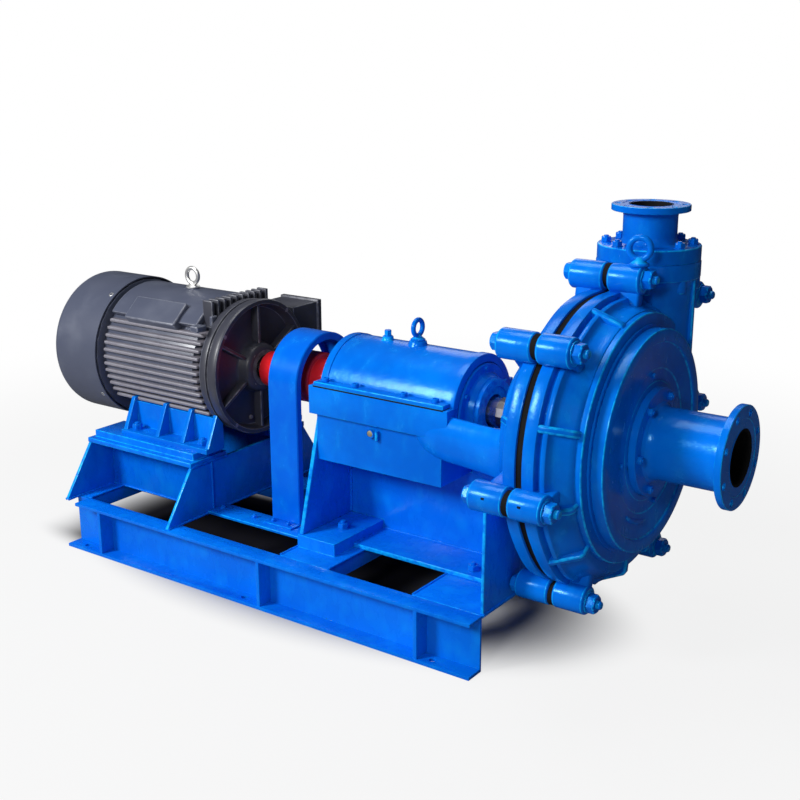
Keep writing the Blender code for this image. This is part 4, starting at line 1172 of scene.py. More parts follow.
@dataclass
class Motor(Assembly):
    """The finned motor: frame, shields, cowl, fan, feet and terminal box."""

    rear: float = -0.800
    front: float = -0.3353
    bore: float = 0.168
    body: float = 0.198
    pad_turn: float = math.radians(42)
    pads: tuple[Box, ...] = (
        ("pad", (-0.700, -0.046, 0.180), (-0.467, 0.046, 0.246), 0.005, 3),
        ("rim", (-0.690, -0.036, 0.2440), (-0.477, 0.036, 0.2459), 0.0006, 1),
    )
    lugs: tuple[Box, ...] = (
        ("boss", (-0.590, -0.024, 0.800), (-0.542, 0.024, 0.870), 0.007, 3),
        ("lug", (-0.3500, -0.150, 0.790), (-0.3370, -0.122, 0.822), 0.004, 3),
        ("ground", (-0.372, -0.2180, 0.780), (-0.337, -0.176, 0.800), 0.004, 3),
    )
    eye_seat: Place = (-0.566, 0, 0.8702)
    fin: float = 0.0115
    fin_insets: Point = (0.010, 0.012)
    side_fins: int = 12
    side_low: float = -0.1375
    side_pitch: float = 0.0240
    side_root: float = 0.150
    side_reach: float = 0.2218
    top_fins: int = 10
    top_half: float = 0.131
    top_root: float = 0.780
    top_level: float = 0.869
    low_fins: int = 6
    low_pitch: float = 0.034
    low_levels: Point = (0.430, 0.480)
    hood_front: float = -0.386
    hood_radius: float = 0.2330
    hood_depth: float = 0.02
    hood_arc: Point = (math.radians(42), math.radians(138))
    hood_steps: int = 56
    dish: Profile = (
        (-0.335, 0.0415), (-0.335, 0.221), (-0.318, 0.2225), (-0.3090, 0.2230), (-0.3075, 0.2160),
        (-0.3000, 0.2160), (-0.2985, 0.2240), (-0.274, 0.227), (-0.268, 0.2268), (-0.2622, 0.2245),
        (-0.262, 0.211), (-0.268, 0.2075), (-0.290, 0.204), (-0.297, 0.198), (-0.299, 0.170),
        (-0.297, 0.096), (-0.290, 0.086), (-0.264, 0.080), (-0.258, 0.077), (-0.252, 0.068),
        (-0.250, 0.060), (-0.250, 0.0415),
    )
    dish_rib: Box = ("rib", (-0.310, 0.072, -0.006), (-0.268, 0.209, 0.006), 0.003, 3)
    cap_circle: Point = (-0.2575, 0.063)
    shield_circle: Point = (-0.2700, 0.2160)
    drain: Place = (-0.2965, -0.030, SHAFT - 0.172)
    cowl_rear: float = -1.026
    cowl_front: float = -0.804
    cowl_radius: float = 0.2465
    cowl_wall: float = 0.004
    cowl_corner: float = 0.032
    slot_rings: tuple[tuple[float, int], ...] = ((0.060, 8), (0.098, 14), (0.136, 20), (0.174, 26))
    slot: Place = (0.01, 0.015, 0.0055)
    foot_bolts: Point = (-0.655, -0.345)
    foot_side: float = 0.209
    foot_top: float = 0.4010
    lid: float = 0.3690
    lid_screws: tuple[Point, Point] = ((-0.464, -0.323), (0.683, 0.781))
    gland: Profile = (
        (0.6500, 0.0), (0.6500, 0.013), (0.654, 0.016), (0.664, 0.016), (0.666, 0.019),
        (0.672, 0.019), (0.672, 0.0),
    )
    gland_at: Point = (-0.360, 0.300)
    gland_step: float = -0.066

    def build(self) -> None:
        """Make every piece of the motor."""
        self.frame()
        self.fins()
        self.hood()
        self.drive_shield()
        self.cowl()
        self.feet()
        self.terminal_box()
        self.paint(Finish.COWL, "fan_end_shield")
        self.paint(Finish.PLASTIC, "cooling_fan")
        self.paint(Finish.CORE, "stator_core")
        self.paint(Finish.GROUND, "motor_bearing_drive", "motor_bearing_fan", "motor_rotor")

    def frame(self) -> None:
        """The frame's barrel with its pad and lugs, in the place of the CAD frame."""
        rear, front, body = self.rear, self.front, self.body
        profile = [
            (rear, self.bore), (rear, body), (rear + 0.002, body + 0.010),
            (front - 0.046, body + 0.010), (front - 0.042, body - 0.012),
            (front - 0.015, body - 0.012), (front - 0.010, body + 0.014),
            (front - 0.001, body + 0.014), (front, body + 0.012), (front, self.bore),
        ]
        parts = [bench.eased(bench.turned("barrel", profile, steps=128), 0.0012, 2, 30)]
        turned = round_shaft(self.pad_turn)
        parts += [bench.settled(bench.block(*box), turned) for box in self.pads]
        parts += [bench.block(*box) for box in self.lugs]
        self.dress(bench.joined("motor_body", parts), Finish.COWL, "motor_frame")
        place = [Axis.Z.facing(self.eye_seat)]
        eye = hardware.eye(0.026, 0.007, 0.012)
        self.fasten("motor_lifting_eye", eye, place, Finish.STEEL, "motor_eye_bolt", edges=True)

    def fins(self) -> None:
        """Side, comb and bottom fins, each modelled once and copied."""
        start, end = self.rear + self.fin_insets[0], self.front - self.fin_insets[1]
        half = self.fin / 2
        low, high = (start, self.side_root, -half), (end, self.side_reach, half)
        places = []
        for index in range(self.side_fins):
            rise = self.side_low + self.side_pitch * index
            inward = math.sqrt(self.side_reach**2 - rise**2) - self.side_reach
            level = Matrix.Translation((0, 0, SHAFT + rise))
            for side in (0.0, math.pi):
                shift = Matrix.Translation((0, inward, 0))
                places.append(level @ Matrix.Rotation(side, 4, "X") @ shift)
        fin = bench.block("fin", low, high, 0.0042, 3)
        # The side fins take the lighter charcoal copy, painted light.
        self.fasten("motor_side_fins", fin, places, Finish.FIN, edges=True, sharp=40)
        step = 2 * self.top_half / (self.top_fins - 1)
        tops = [step * index - self.top_half for index in range(self.top_fins)]
        middle = (self.low_fins - 1) / 2
        lows = [self.low_pitch * (index - middle) for index in range(self.low_fins)]
        for name, first, (root, tip), rows in (
            ("motor_comb", self.hood_front - 0.004, (self.top_root, self.top_level), tops),
            ("motor_bottom_fins", start, self.low_levels, lows),
        ):
            fin = bench.block("fin", (first, -half, root), (end, half, tip), 0.0030, 3)
            places = [Matrix.Translation((0, y, 0)) for y in rows]
            self.fasten(name, fin, places, Finish.MOTOR, edges=True, sharp=40)

    def hood(self) -> None:
        """The smooth crown that covers the upper fins up to the comb."""
        low, high = self.hood_arc
        steps = self.hood_steps
        angles = [low + (high - low) * index / steps for index in range(steps + 1)]
        inner_radius = self.hood_radius - self.hood_depth
        rear, front = self.rear + 0.012, self.hood_front
        rings = []
        for x, grow in ((rear, -0.003), (rear + 0.003, 0.0), (front - 0.003, 0.0), (front, -0.003)):
            outer = [(x, *polar(self.hood_radius + grow, a)) for a in angles]
            inner = [(x, *polar(inner_radius, a)) for a in reversed(angles)]
            rings.append(outer + inner)
        hood = bench.eased(bench.lofted("motor_crown", rings), 0.0025, 3, 40)
        self.dress(hood, Finish.COWL, sharp=30)

    def drive_shield(self) -> None:
        """The dished drive end shield with its ribs, bearing cap and bolts."""
        dish = bench.eased(bench.turned("dish", self.dish, steps=128), 0.0012, 2, 34)
        turns = [round_shaft(angle) for angle in turn(6, math.radians(30))]
        ribs = bench.spread("ribs", bench.block(*self.dish_rib), turns)
        # The dish takes the darker charcoal copy, painted shade.
        self.dress(bench.joined("drive_end_dish", [dish, ribs]), Finish.MOTOR, "drive_end_shield")
        cap = on_circle(Axis.X, *self.cap_circle, turn(4, math.pi / 4))
        outer = on_circle(Axis.X, *self.shield_circle, turn(4, math.radians(52)))
        screws = [
            bench.spread("cap_screws", hardware.nut(0.010, 0.0055), cap),
            bench.spread("shield_bolts", hardware.nut(0.014, 0.007), outer),
            bench.spread("drain", hardware.nut(0.012, 0.006), [Axis.X.facing(self.drain)]),
        ]
        # The shield's screws take the lighter charcoal copy.
        self.dress(bench.joined("drive_shield_screws", screws), Finish.FIN)

    def cowl(self) -> None:
        """The pressed fan cowl with its grille of slots and its fixing screws."""
        rear, front, radius = self.cowl_rear, self.cowl_front, self.cowl_radius
        wall, corner = self.cowl_wall, self.cowl_corner
        middle = (rear + corner, radius - corner)
        bends = [
            [(middle[0] - size * math.sin(a), middle[1] + size * math.cos(a)) for a in QUARTER]
            for size in (corner, corner - wall)
        ]
        profile = [(front, radius - wall), (front, radius), *bends[0]]
        profile += [(rear, 0.0), (rear + wall, 0.0), *reversed(bends[1])]
        shell = bench.turned("shell", profile, steps=128)
        slots = []
        deep, long, wide = self.slot
        for ring, count in self.slot_rings:
            for angle in turn(count):
                low, high = (rear - deep, ring - long, -wide), (rear + deep, ring + long, wide)
                slot = bench.block("slot", low, high, 0.005, 3)
                slots.append(bench.settled(slot, round_shaft(angle)))
        bench.cut(shell, slots)
        low, high, inner = front - 0.010, front - 0.001, radius - 0.003
        bead = bench.turned("bead", [(low, inner), (low, radius), (high, radius), (high, inner)])
        self.dress(bench.joined("fan_hood", [shell, bead]), Finish.COWL, "fan_cowl", sharp=28)
        seat = Matrix.Translation((front - 0.020, 0, radius - 0.0040))
        places = [round_shaft(angle) @ seat for angle in turn(4, math.radians(34))]
        self.fasten("fan_hood_screws", hardware.cap_screw(0.0090, 0.0052), places, Finish.STEEL)

    def feet(self) -> None:
        """The cast feet and their bolts."""
        for node in ("motor_foot_near", "motor_foot_far"):
            self.rework(node, Finish.CAST_BLUE, 0.0025)
        places = in_rows(self.foot_bolts, self.foot_side, self.foot_top)
        self.fasten("motor_foot_bolts", hardware.nut(0.030, 0.018, 0.006), places)

    def terminal_box(self) -> None:
        """The terminal box, its lid's screws and the cable glands."""
        # The box takes the darker charcoal copy, painted shade.
        self.rework("terminal_box", Finish.MOTOR, 0.003)
        across, levels = self.lid_screws
        places = [Axis.Y.facing((x, self.lid, z)) for x in across for z in levels]
        self.fasten("terminal_screws", hardware.cap_screw(0.005, 0.0030), places, Finish.STEEL)
        gland = bench.turned("gland", self.gland, Axis.Z, self.gland_at, 48)
        other = bench.copied(gland, "other", Matrix.Translation((self.gland_step, 0, 0)))
        self.dress(bench.joined("cable_glands", [gland, other]), Finish.PLASTIC)


# Coupling


@dataclass
class Coupling(Assembly):
    """The red coupling halves and the guard over them."""

    motor_half: Profile = (
        (-0.232, 0.0), (-0.232, 0.050), (-0.224, 0.058), (-0.108, 0.058), (-0.102, 0.062),
        (-0.102, 0.079), (-0.098, 0.084), (-0.058, 0.084), (-0.054, 0.080), (-0.054, 0.0),
    )
    pump_half: Profile = (
        (-0.050, 0.0), (-0.050, 0.080), (-0.046, 0.084), (-0.006, 0.084), (-0.002, 0.080),
        (-0.002, 0.070), (0.056, 0.070), (0.062, 0.064), (0.062, 0.0),
    )
    bolt_circle: Point = (-0.102, 0.068)
    radius: float = 0.152
    sheet: float = 0.004
    corner: float = 0.003
    foot: float = 0.1783
    foot_sheet: float = 0.006
    foot_width: float = 0.048
    foot_sides: Point = (0.148, -0.196)
    rear: float = -0.105
    front: float = 0.012
    lip: float = 0.024
    arch_steps: int = 80
    straight: float = 0.12
    guard_bolts: Point = (-0.078, -0.015)
    guard_side: float = 0.176

    def build(self) -> None:
        """Make the coupling and the guard."""
        for name, profile, body in (
            ("motor", self.motor_half, Body.MOTOR), ("pump", self.pump_half, Body.PUMP),
        ):
            half = bench.eased(bench.turned(f"{name}_half_coupling", profile), 0.0010)
            self.dress(half, Finish.RED, f"{name}_coupling", body=body)
        places = on_circle(Axis.X, *self.bolt_circle, turn(6), sense=-1)
        bolt = hardware.nut(0.013, 0.007)
        self.fasten("coupling_bolts", bolt, places, Finish.STEEL, edges=True, body=Body.MOTOR)
        self.guard()

    def arch(self, radius: float) -> list[Point]:
        """Trace the guard in Y and Z: up one leg, round and down the other.

        Args:
            radius: the radius of the bow.

        Returns:
            The line's points.
        """
        levels = (self.foot + self.foot_sheet, SHAFT - self.straight, SHAFT)
        bow = [polar(radius, a) for a in reversed(turn(self.arch_steps)[1 : self.arch_steps // 2])]
        up = [(-radius, level) for level in levels]
        return up + bow + [(radius, level) for level in reversed(levels)]

    def guard(self) -> None:
        """The bent sheet with its turned-in lips and bolted feet."""
        rear, front, radius, sheet = self.rear, self.front, self.radius, self.sheet
        corner, deep = self.corner, radius - self.lip
        section = [
            (rear, deep), (rear, radius - corner), (rear + corner, radius),
            (front - corner, radius), (front, radius - corner), (front, deep),
            (front - sheet, deep), (front - sheet, radius - sheet),
            (rear + sheet, radius - sheet), (rear + sheet, deep),
        ]
        lines = [(x, self.arch(reach)) for x, reach in section]
        rings = [[(x, *line[index]) for x, line in lines] for index in range(len(lines[0][1]))]
        parts = [bench.eased(bench.lofted("arch", rings), 0.0008, 1, 50)]
        top = self.foot + self.foot_sheet
        for low in self.foot_sides:
            corners = (rear, low, self.foot), (front, low + self.foot_width, top)
            parts.append(bench.block("foot", *corners, 0.0015, 2))
        self.dress(bench.joined("guard_arch", parts), Finish.SHEET_BLUE, "coupling_guard")
        places = in_rows(self.guard_bolts, self.guard_side, top)
        self.fasten("guard_bolts", hardware.nut(0.015, 0.008, 0.003), places, Finish.PLATE_BLUE)


# Pedestal and bearing


@dataclass
class Pedestal(Assembly):
    """The plate pedestal under the bearing, with its welds and bolts."""

    edge: float = 0.0026
    # Wider faces count as edges on the pedestal's plates, for a broader painted highlight.
    edge_highlight_width: float = 0.0112
    bead: float = 0.0042
    foot: float = 0.1823
    web: float = 0.0105
    web_lines: tuple[tuple[Point, Point], ...] = (
        ((0.242, 0.1823), (0.806, 0.1823)),
        ((0.1130, 0.212), (0.1130, 0.430)),
        ((0.8070, 0.190), (0.8070, 0.362)),
        ((0.116, 0.4345), (0.560, 0.4345)),
    )
    toe: Place = (0.8075, 0.166, 0.1833)
    front_bolts: Place = (0.654, 0.129, 0.1823)
    rear_bolts: Place = (0.180, 0.140, 0.2083)

    def build(self) -> None:
        """Make the plates, beads and bolts."""
        for node in ("pedestal_plate_rear", "pedestal_plate_front", "pedestal_web"):
            self.rework(node, Finish.PLATE_BLUE, self.edge, narrow=self.edge_highlight_width)
        lines = [
            [(x, side * self.web, z) for x, z in line] for side in SIDES for line in self.web_lines
        ]
        x, y, z = self.toe
        lines.append([(x, -y, z), (x, y, z)])
        self.weld_up("pedestal_welds", lines, self.bead)
        places = []
        for x, y, z in (self.front_bolts, self.rear_bolts):
            places += in_rows([x], y, z)
        self.fasten("pedestal_bolts", hardware.nut(0.030, 0.016, 0.008), places)


@dataclass
class BearingAssembly(Assembly):
    """The bearing housing: bracket, barrel, clamped cover, end covers, sight, vent and eye."""

    barrel: float = 0.140
    cover: float = 0.165
    rear: float = 0.114
    front: float = 0.600
    joint: float = 0.6733
    arm_sections: tuple[tuple[float, ...], ...] = (
        (0.470, 0.160, 0.604, 0.006, 0.020), (0.486, 0.164, 0.600, 0.020, 0.042),
        (0.510, 0.166, 0.594, 0.027, 0.056), (0.545, 0.167, 0.588, 0.030, 0.064),
        (0.590, 0.170, 0.584, 0.031, 0.068), (0.650, 0.178, 0.584, 0.030, 0.068),
        (0.710, 0.188, 0.584, 0.029, 0.068), (0.760, 0.197, 0.584, 0.029, 0.070),
        (0.790, 0.204, 0.584, 0.032, 0.074), (0.812, 0.212, 0.584, 0.036, 0.080),
    )
    gusset: Profile = (
        (0.5700, 0.430), (0.5700, 0.475), (0.640, 0.470), (0.720, 0.448), (0.8060, 0.420),
        (0.8060, 0.366),
    )
    gusset_half: float = 0.009
    cover_steps: int = 72
    cover_gap: float = 0.0006
    flange_width: float = 0.042
    flange_sides: Point = (0.1525, -0.1945)
    flange_height: float = 0.014
    gasket_sides: Point = (0.1535, -0.1955)
    clamp_screws: tuple[float, ...] = (0.150, 0.262, 0.438, 0.548)
    clamp_side: float = 0.1740
    shell: Profile = (
        (0.122, 0.110), (0.122, 0.137), (0.125, 0.140), (0.591, 0.140), (0.594, 0.137),
        (0.594, 0.110),
    )
    front_cap: Profile = (
        (0.5943, 0.050), (0.5943, 0.134), (0.597, 0.137), (0.603, 0.137), (0.606, 0.134),
        (0.607, 0.112), (0.611, 0.106), (0.626, 0.100), (0.6285, 0.097), (0.640, 0.097),
        (0.642, 0.095), (0.642, 0.074), (0.638, 0.072), (0.638, 0.050),
    )
    rear_cap: Profile = (
        (0.1217, 0.046), (0.1217, 0.137), (0.116, 0.139), (0.110, 0.137), (0.108, 0.132),
        (0.108, 0.112), (0.104, 0.104), (0.092, 0.098), (0.0887, 0.095), (0.0887, 0.070),
        (0.092, 0.068), (0.092, 0.046),
    )
    # Wider faces count as edges on the front end cover, for a broader painted highlight on its
    # rings.
    cap_highlight_width: float = 0.0045
    cap_faces: Point = (0.6062, 0.1082)
    cap_circle: float = 0.1240
    sight: Profile = (
        (-0.1752, 0.0), (-0.1752, 0.0150), (-0.1835, 0.0150), (-0.1870, 0.0140),
        (-0.1870, 0.0108), (-0.1848, 0.0102), (-0.1848, 0.0),
    )
    sight_at: Point = (0.322, 0.556)
    sight_lug: Box = ("lug", (0.3400, -0.1880, 0.5350), (0.3500, -0.1740, 0.5680), 0.004, 3)
    lens: Profile = (
        (-0.1846, 0.0), (-0.1846, 0.0100), (-0.1862, 0.0092), (-0.1868, 0.0060), (-0.1870, 0.0),
    )
    vent: Point = (0.256, 0.0)
    vent_seat: Profile = (
        (0.7960, 0.0), (0.7960, 0.021), (0.801, 0.0175), (0.8085, 0.0165), (0.8100, 0.015),
        (0.8100, 0.0),
    )
    eye: Point = (0.367, 0.0)
    eye_seat: Profile = (
        (0.7940, 0.0), (0.7940, 0.032), (0.801, 0.028), (0.8085, 0.0265), (0.8100, 0.025),
        (0.8100, 0.0),
    )

    def build(self) -> None:
        """Make every piece of the bearing assembly."""
        self.rework("bearing_bracket", Finish.CAST_BLUE, 0.0030)
        self.shoulders()
        self.top_cover()
        self.barrels()
        self.fittings()
        self.paint(Finish.GROUND, "pump_shaft", "pump_bearing_front", "pump_bearing_rear")
        self.paint(Finish.SLEEVE, "shaft_sleeve")
        for node in ("gland", "stuffing_box"):
            self.rework(node, Finish.CAST_BLUE, 0.0015, 2)

    def shoulders(self) -> None:
        """The cast arms from the bracket's ends into the neck's flange, and the gusset below."""
        arms = []
        for side in SIDES:
            rings = []
            for x, y, z, wide, high in self.arm_sections:
                oval = [(y + wide * math.cos(a), z + high * math.sin(a)) for a in turn(40)]
                rings.append([(x, side * across, level) for across, level in oval])
            arms.append(bench.lofted("arm", rings))
        self.dress(bench.joined("neck_shoulders", arms), Finish.CAST_BLUE, sharp=50)
        half = self.gusset_half
        gusset = bench.plate("neck_gusset", self.gusset, Axis.Y, -half, half)
        self.dress(bench.eased(gusset, 0.002), Finish.PLATE_BLUE)

    def arc(self, radius: float) -> list[float]:
        """List the angles from one side of the joint over the top to the other.

        Args:
            radius: the radius at which they meet the joint.

        Returns:
            The angles in radians.
        """
        low = math.asin((self.joint - SHAFT) / radius)
        steps = self.cover_steps
        return [low + (math.pi - 2 * low) * index / steps for index in range(steps + 1)]

    def top_cover(self) -> None:
        """The half-round cover with flanges, end bands, gasket and cap screws."""
        rear, front, radius = self.rear, self.front, self.cover
        inner = self.barrel + self.cover_gap
        outside, bore = self.arc(radius), self.arc(inner)
        rings = []
        for x, reach in (
            (rear, radius - 0.006), (rear + 0.002, radius - 0.001), (rear + 0.006, radius),
            (rear + 0.026, radius), (rear + 0.028, radius - 0.003), (front - 0.030, radius - 0.003),
            (front - 0.028, radius), (front - 0.006, radius), (front - 0.002, radius - 0.001),
            (front, radius - 0.006),
        ):
            ring = [(x, *polar(reach, a)) for a in outside]
            rings.append(ring + [(x, *polar(inner, a)) for a in reversed(bore)])
        parts = [bench.lofted("crown", rings)]
        strips = []
        rise = self.joint + self.flange_height
        for side, seal in zip(self.flange_sides, self.gasket_sides):
            low = (rear + 0.002, side, self.joint)
            high = (front - 0.014, side + self.flange_width, rise)
            parts.append(bench.block("flange", low, high, 0.0025, 3))
            low = (rear + 0.001, seal, self.joint - 0.0030)
            high = (front - 0.013, seal + self.flange_width, self.joint + 0.0012)
            strips.append(bench.block("strip", low, high, 0.0006, 1))
        self.dress(bench.joined("cover_gasket", strips), Finish.RUBBER)
        cover = bench.joined("bearing_clamp_cover", parts)
        self.dress(cover, Finish.CAST_BLUE, "bearing_cover", sharp=30)
        places = in_rows(self.clamp_screws, self.clamp_side, rise)
        self.fasten("clamp_cover_screws", hardware.cap_screw(0.0105, 0.0120), places)

    def barrels(self) -> None:
        """The barrel, its two stepped end covers and their screws."""
        for name, profile, node, sharp, narrow in (
            ("bearing_shell", self.shell, "bearing_barrel", 34, NARROW),
            ("bearing_end_front", self.front_cap, "end_cover_front", 28, self.cap_highlight_width),
            ("bearing_end_rear", self.rear_cap, "end_cover_rear", 28, NARROW),
        ):
            piece = bench.turned(name, profile, steps=128)
            self.dress(piece, Finish.CAST_BLUE, node, sharp=sharp, narrow=narrow)
        front, rear = self.cap_faces
        for name, face, sense in (("front", front, 1), ("rear", rear, -1)):
            places = on_circle(Axis.X, face, self.cap_circle, turn(6, math.pi / 6), sense=sense)
            self.fasten(f"end_cover_screws_{name}", hardware.nut(0.013, 0.0065), places)

    def fittings(self) -> None:
        """The oil sight, the vent plug and the lifting eye."""
        sight = bench.turned("sight", self.sight, Axis.Y, self.sight_at, 48)
        piece = bench.joined("oil_level_sight", [sight, bench.block(*self.sight_lug)])
        self.dress(piece, Finish.CAST_BLUE, "oil_sight", sharp=28)
        lens = bench.turned("oil_sight_lens", self.lens, Axis.Y, self.sight_at, 48)
        self.dress(lens, Finish.BRASS)
        seats = [
            bench.turned("seat", profile, Axis.Z, spot, 48)
            for profile, spot in ((self.vent_seat, self.vent), (self.eye_seat, self.eye))
        ]
        self.dress(bench.joined("cover_seats", seats), Finish.CAST_BLUE)
        place = [Axis.Z.facing((*self.vent, 0.8101))]
        self.fasten("vent_plug", hardware.nut(0.020, 0.016), place, edges=True)
        place = [Axis.Z.facing((*self.eye, 0.8103)) @ Matrix.Rotation(math.radians(90), 4, "Z")]
        eye = hardware.eye(0.024, 0.0075, 0.012)
        self.fasten(
            "bearing_lifting_eye", eye, place, Finish.CAST_BLUE, "bearing_eye_bolt", edges=True
        )


# Pump


@dataclass
class Casing(Assembly):
    """The split casing: two ribbed halves, bosses, studs and the outlet's neck.

    A skin's stations are (x, inset from the drum, least radius); an inset below zero makes the
    third number the radius itself. Those of a skin follow the rounded lip at the seam.
    """

    split: float = 0.955
    seam: float = 0.0095
    drum: float = 0.412
    drum_shares: tuple[float, ...] = (
        1.09, 1.06, 1.0, 0.935, 0.945, 1.0, 1.0, 1.01, 1.045, 1.065, 1.075, 1.085,
    )
    steps: int = 168
    inside: float = 0.310
    front_skin: tuple[Station, ...] = (
        (0.995, 0.0, 0.0), (0.999, 0.001, 0.0), (1.000, 0.004, 0.0), (1.001, 0.018, 0.0),
        (1.002, 0.0225, 0.0), (1.0085, 0.0225, 0.0), (1.0095, 0.018, 0.0), (1.0105, 0.0135, 0.0),
        (1.0135, 0.012, 0.0), (1.0200, 0.0125, 0.0), (1.0235, 0.0145, 0.0), (1.0260, 0.020, 0.0),
        (1.0290, 0.0270, 0.0), (1.034, 0.0310, 0.0), (1.068, 0.052, 0.350), (1.077, 0.060, 0.349),
        (1.080, 0.066, 0.3475), (1.080, -1, 0.345), (1.094, -1, 0.345), (1.0965, -1, 0.3440),
        (1.098, -1, 0.3415), (1.098, -1, 0.310),
    )
    rear_skin: tuple[Station, ...] = (
        (0.915, 0.0, 0.0), (0.911, 0.001, 0.0), (0.910, 0.004, 0.0), (0.910, 0.016, 0.0),
        (0.906, 0.021, 0.0), (0.850, 0.100, 0.0), (0.8445, 0.104, 0.0), (0.830, 0.118, 0.0),
        (0.8262, 0.124, 0.0), (0.8262, -1, 0.100), (0.8400, -1, 0.100), (0.8400, -1, 0.200),
    )
    rib_half: float = 0.0105
    rib_edge: float = 0.0065
    front_ribs: tuple[float, ...] = (20, 52, 108, 164, 196, 222, 268, 290, 330)
    rear_ribs: tuple[float, ...] = (20, 52, 108, 164, 218, 270, 330)
    boss: float = 0.036
    boss_angles: tuple[float, ...] = (81, 137, 190, 246, 302, 358)
    boss_shares: tuple[float, ...] = (1.056, 1.0, 1.111, 0.861, 1.167, 1.111)
    far_boss: Point = (0.475, 0.952)
    boss_ends: Point = (0.845, 1.057)
    boss_overlap: float = 0.0030
    lobe_radius: float = 0.0405
    lobe_edge: float = 0.007
    lobe_shift_share: float = 1.02
    web_ends: Point = (0.862, 1.0525)
    web_root: float = 0.310
    web_half: float = 0.017
    strip: Profile = (
        (0.113, 0.740), (0.300, 0.735), (0.404, 0.735), (0.439, 0.80), (0.439, 1.030),
        (0.418, 1.056), (0.140, 1.056), (0.113, 1.03),
    )
    strip_ends: Point = (0.913, 0.997)
    outlet: Point = (0.980, 0.258)
    neck_profile: Profile = (
        (0.780, 0.060), (0.780, 0.131), (0.835, 0.132), (0.930, 0.134), (1.014, 0.137),
        (1.026, 0.139), (1.034, 0.1425), (1.036, 0.145), (1.0385, 0.1465), (1.078, 0.1465),
        (1.0807, 0.145), (1.0827, 0.1425), (1.0827, 0.060),
    )
    neck_rib: Place = (0.1445, 0.820, 1.040)
    column: Profile = (
        (1.000, 0.0), (1.000, 0.0120), (1.004, 0.0160), (1.010, 0.0175), (1.0815, 0.0175),
        (1.0826, 0.0165), (1.0826, 0.0),
    )
    column_circle: float = 0.128
    liner_inset: float = 0.007
    liner_inside: float = 0.330
    leaf_rise: Point = (0.760, 1.030)
    # The radius of the dark discs of painted shade in the gaps between the bosses' halves.
    tab_radius: float = 0.0335
    # Where the two patches of painted shade for holes sit on the third boss, along X.
    painted_hole_spots: Point = (0.895, 1.000)
    stud: Profile = (
        (0.8440, 0.0), (0.8440, 0.0120), (1.0930, 0.0120), (1.0965, 0.0095), (1.0965, 0.0),
    )

    def build(self) -> None:
        """Make every piece of the casing."""
        self.front_half()
        self.rear_half()
        self.studs()
        self.gasket()
        self.paint(Finish.IRON, "volute_liner", "liner_rear", "impeller", "throat_bush")

    def reach(self, angle: float) -> float:
        """Blend the drum's outer radius between its shares, one every 30 degrees.

        Args:
            angle: the angle round the shaft, in radians.

        Returns:
            The radius there.
        """
        step = (math.degrees(angle) % 360) / 30
        index = int(step) % 12
        first, second = self.drum_shares[index], self.drum_shares[(index + 1) % 12]
        part = (1 - math.cos(math.pi * (step - int(step)))) / 2
        return self.drum * (first + (second - first) * part)

    def around(self, stations: Iterable[Station], name: str) -> Piece:
        """Skin a ring whose cross-section follows the drum.

        Args:
            stations: its corners, as the class says.
            name: the piece's name.

        Returns:
            The closed ring.
        """
        corners = list(stations)
        rings = []
        for angle in turn(self.steps):
            drum = self.reach(angle)
            ring = []
            for x, inset, least in corners:
                radius = least if inset < 0 else max(least, drum - inset)
                ring.append((x, *polar(radius, angle)))
            rings.append(ring)
        return bench.lofted(name, rings, around=True)

    def lip(self, start: float, sense: int) -> list[Station]:
        """The stations of a half's rounded lip, from the seam outward."""
        rows = ((0.0, -1, self.inside), (0.0, 0.004, 0.0), (0.001, 0.001, 0.0), (0.004, 0.0, 0.0))
        return [(start + sense * along, inset, least) for along, inset, least in rows]

    def boss_places(self) -> list[Point]:
        """Find the centres of the clamping bosses.

        Returns:
            The centres in Y and Z.
        """
        spots = []
        for degrees, share in zip(self.boss_angles, self.boss_shares):
            angle = math.radians(degrees)
            spots.append(polar(self.reach(angle) + self.boss * share, angle))
        return [*spots, self.far_boss]

    def lobe(self, spot: Point, low: float, high: float) -> Piece:
        """Turn a boss with rounded ends.

        Args:
            spot: its bolt's centre in Y and Z.
            low: where it starts along X.
            high: where it ends.

        Returns:
            The boss, set a little inward so that it stays in the CAD's box.
        """
        angle = math.atan2(spot[1] - SHAFT, spot[0])
        edge, flat = self.lobe_edge, self.lobe_radius - self.lobe_edge
        shift = (self.lobe_radius - self.boss) * self.lobe_shift_share
        arc = QUARTER[::2]
        profile = [(low, 0.0)]
        profile += [(low + edge - edge * math.cos(a), flat + edge * math.sin(a)) for a in arc]
        profile += [(high - edge + edge * math.sin(a), flat + edge * math.cos(a)) for a in arc]
        profile.append((high, 0.0))
        return bench.turned("boss", profile, Axis.X, polar(-shift, angle, spot), 56)

    def web(self, spot: Point, low: float, high: float) -> Piece:
        """Make the rib that runs from the drum out to a boss.

        Args:
            spot: the boss's centre in Y and Z.
            low: where the rib starts along X.
            high: where it ends.

        Returns:
            The rib.
        """
        angle = math.atan2(spot[1] - SHAFT, spot[0])
        far = math.hypot(spot[0], spot[1] - SHAFT)
        half = self.web_half
        web = bench.block("web", (low, self.web_root, -half), (high, far, half), 0.008, 3)
        return bench.settled(web, round_shaft(angle))

    def ribs(
        self, degrees: Sequence[float], corners: Callable[[float], list[Point]]
    ) -> list[Piece]:
        """Make the ribs across one half.

        Args:
            degrees: their angles round the shaft.
            corners: gives a rib's outline in X and radius from the drum's radius there.

        Returns:
            The ribs.
        """
        made = []
        for angle in map(math.radians, degrees):
            outline = corners(self.reach(angle))
            rib = bench.plate("rib", outline, Axis.Y, -self.rib_half, self.rib_half)
            bench.eased(rib, self.rib_edge, 4)
            made.append(bench.settled(rib, round_shaft(angle - math.pi / 2)))
        return made

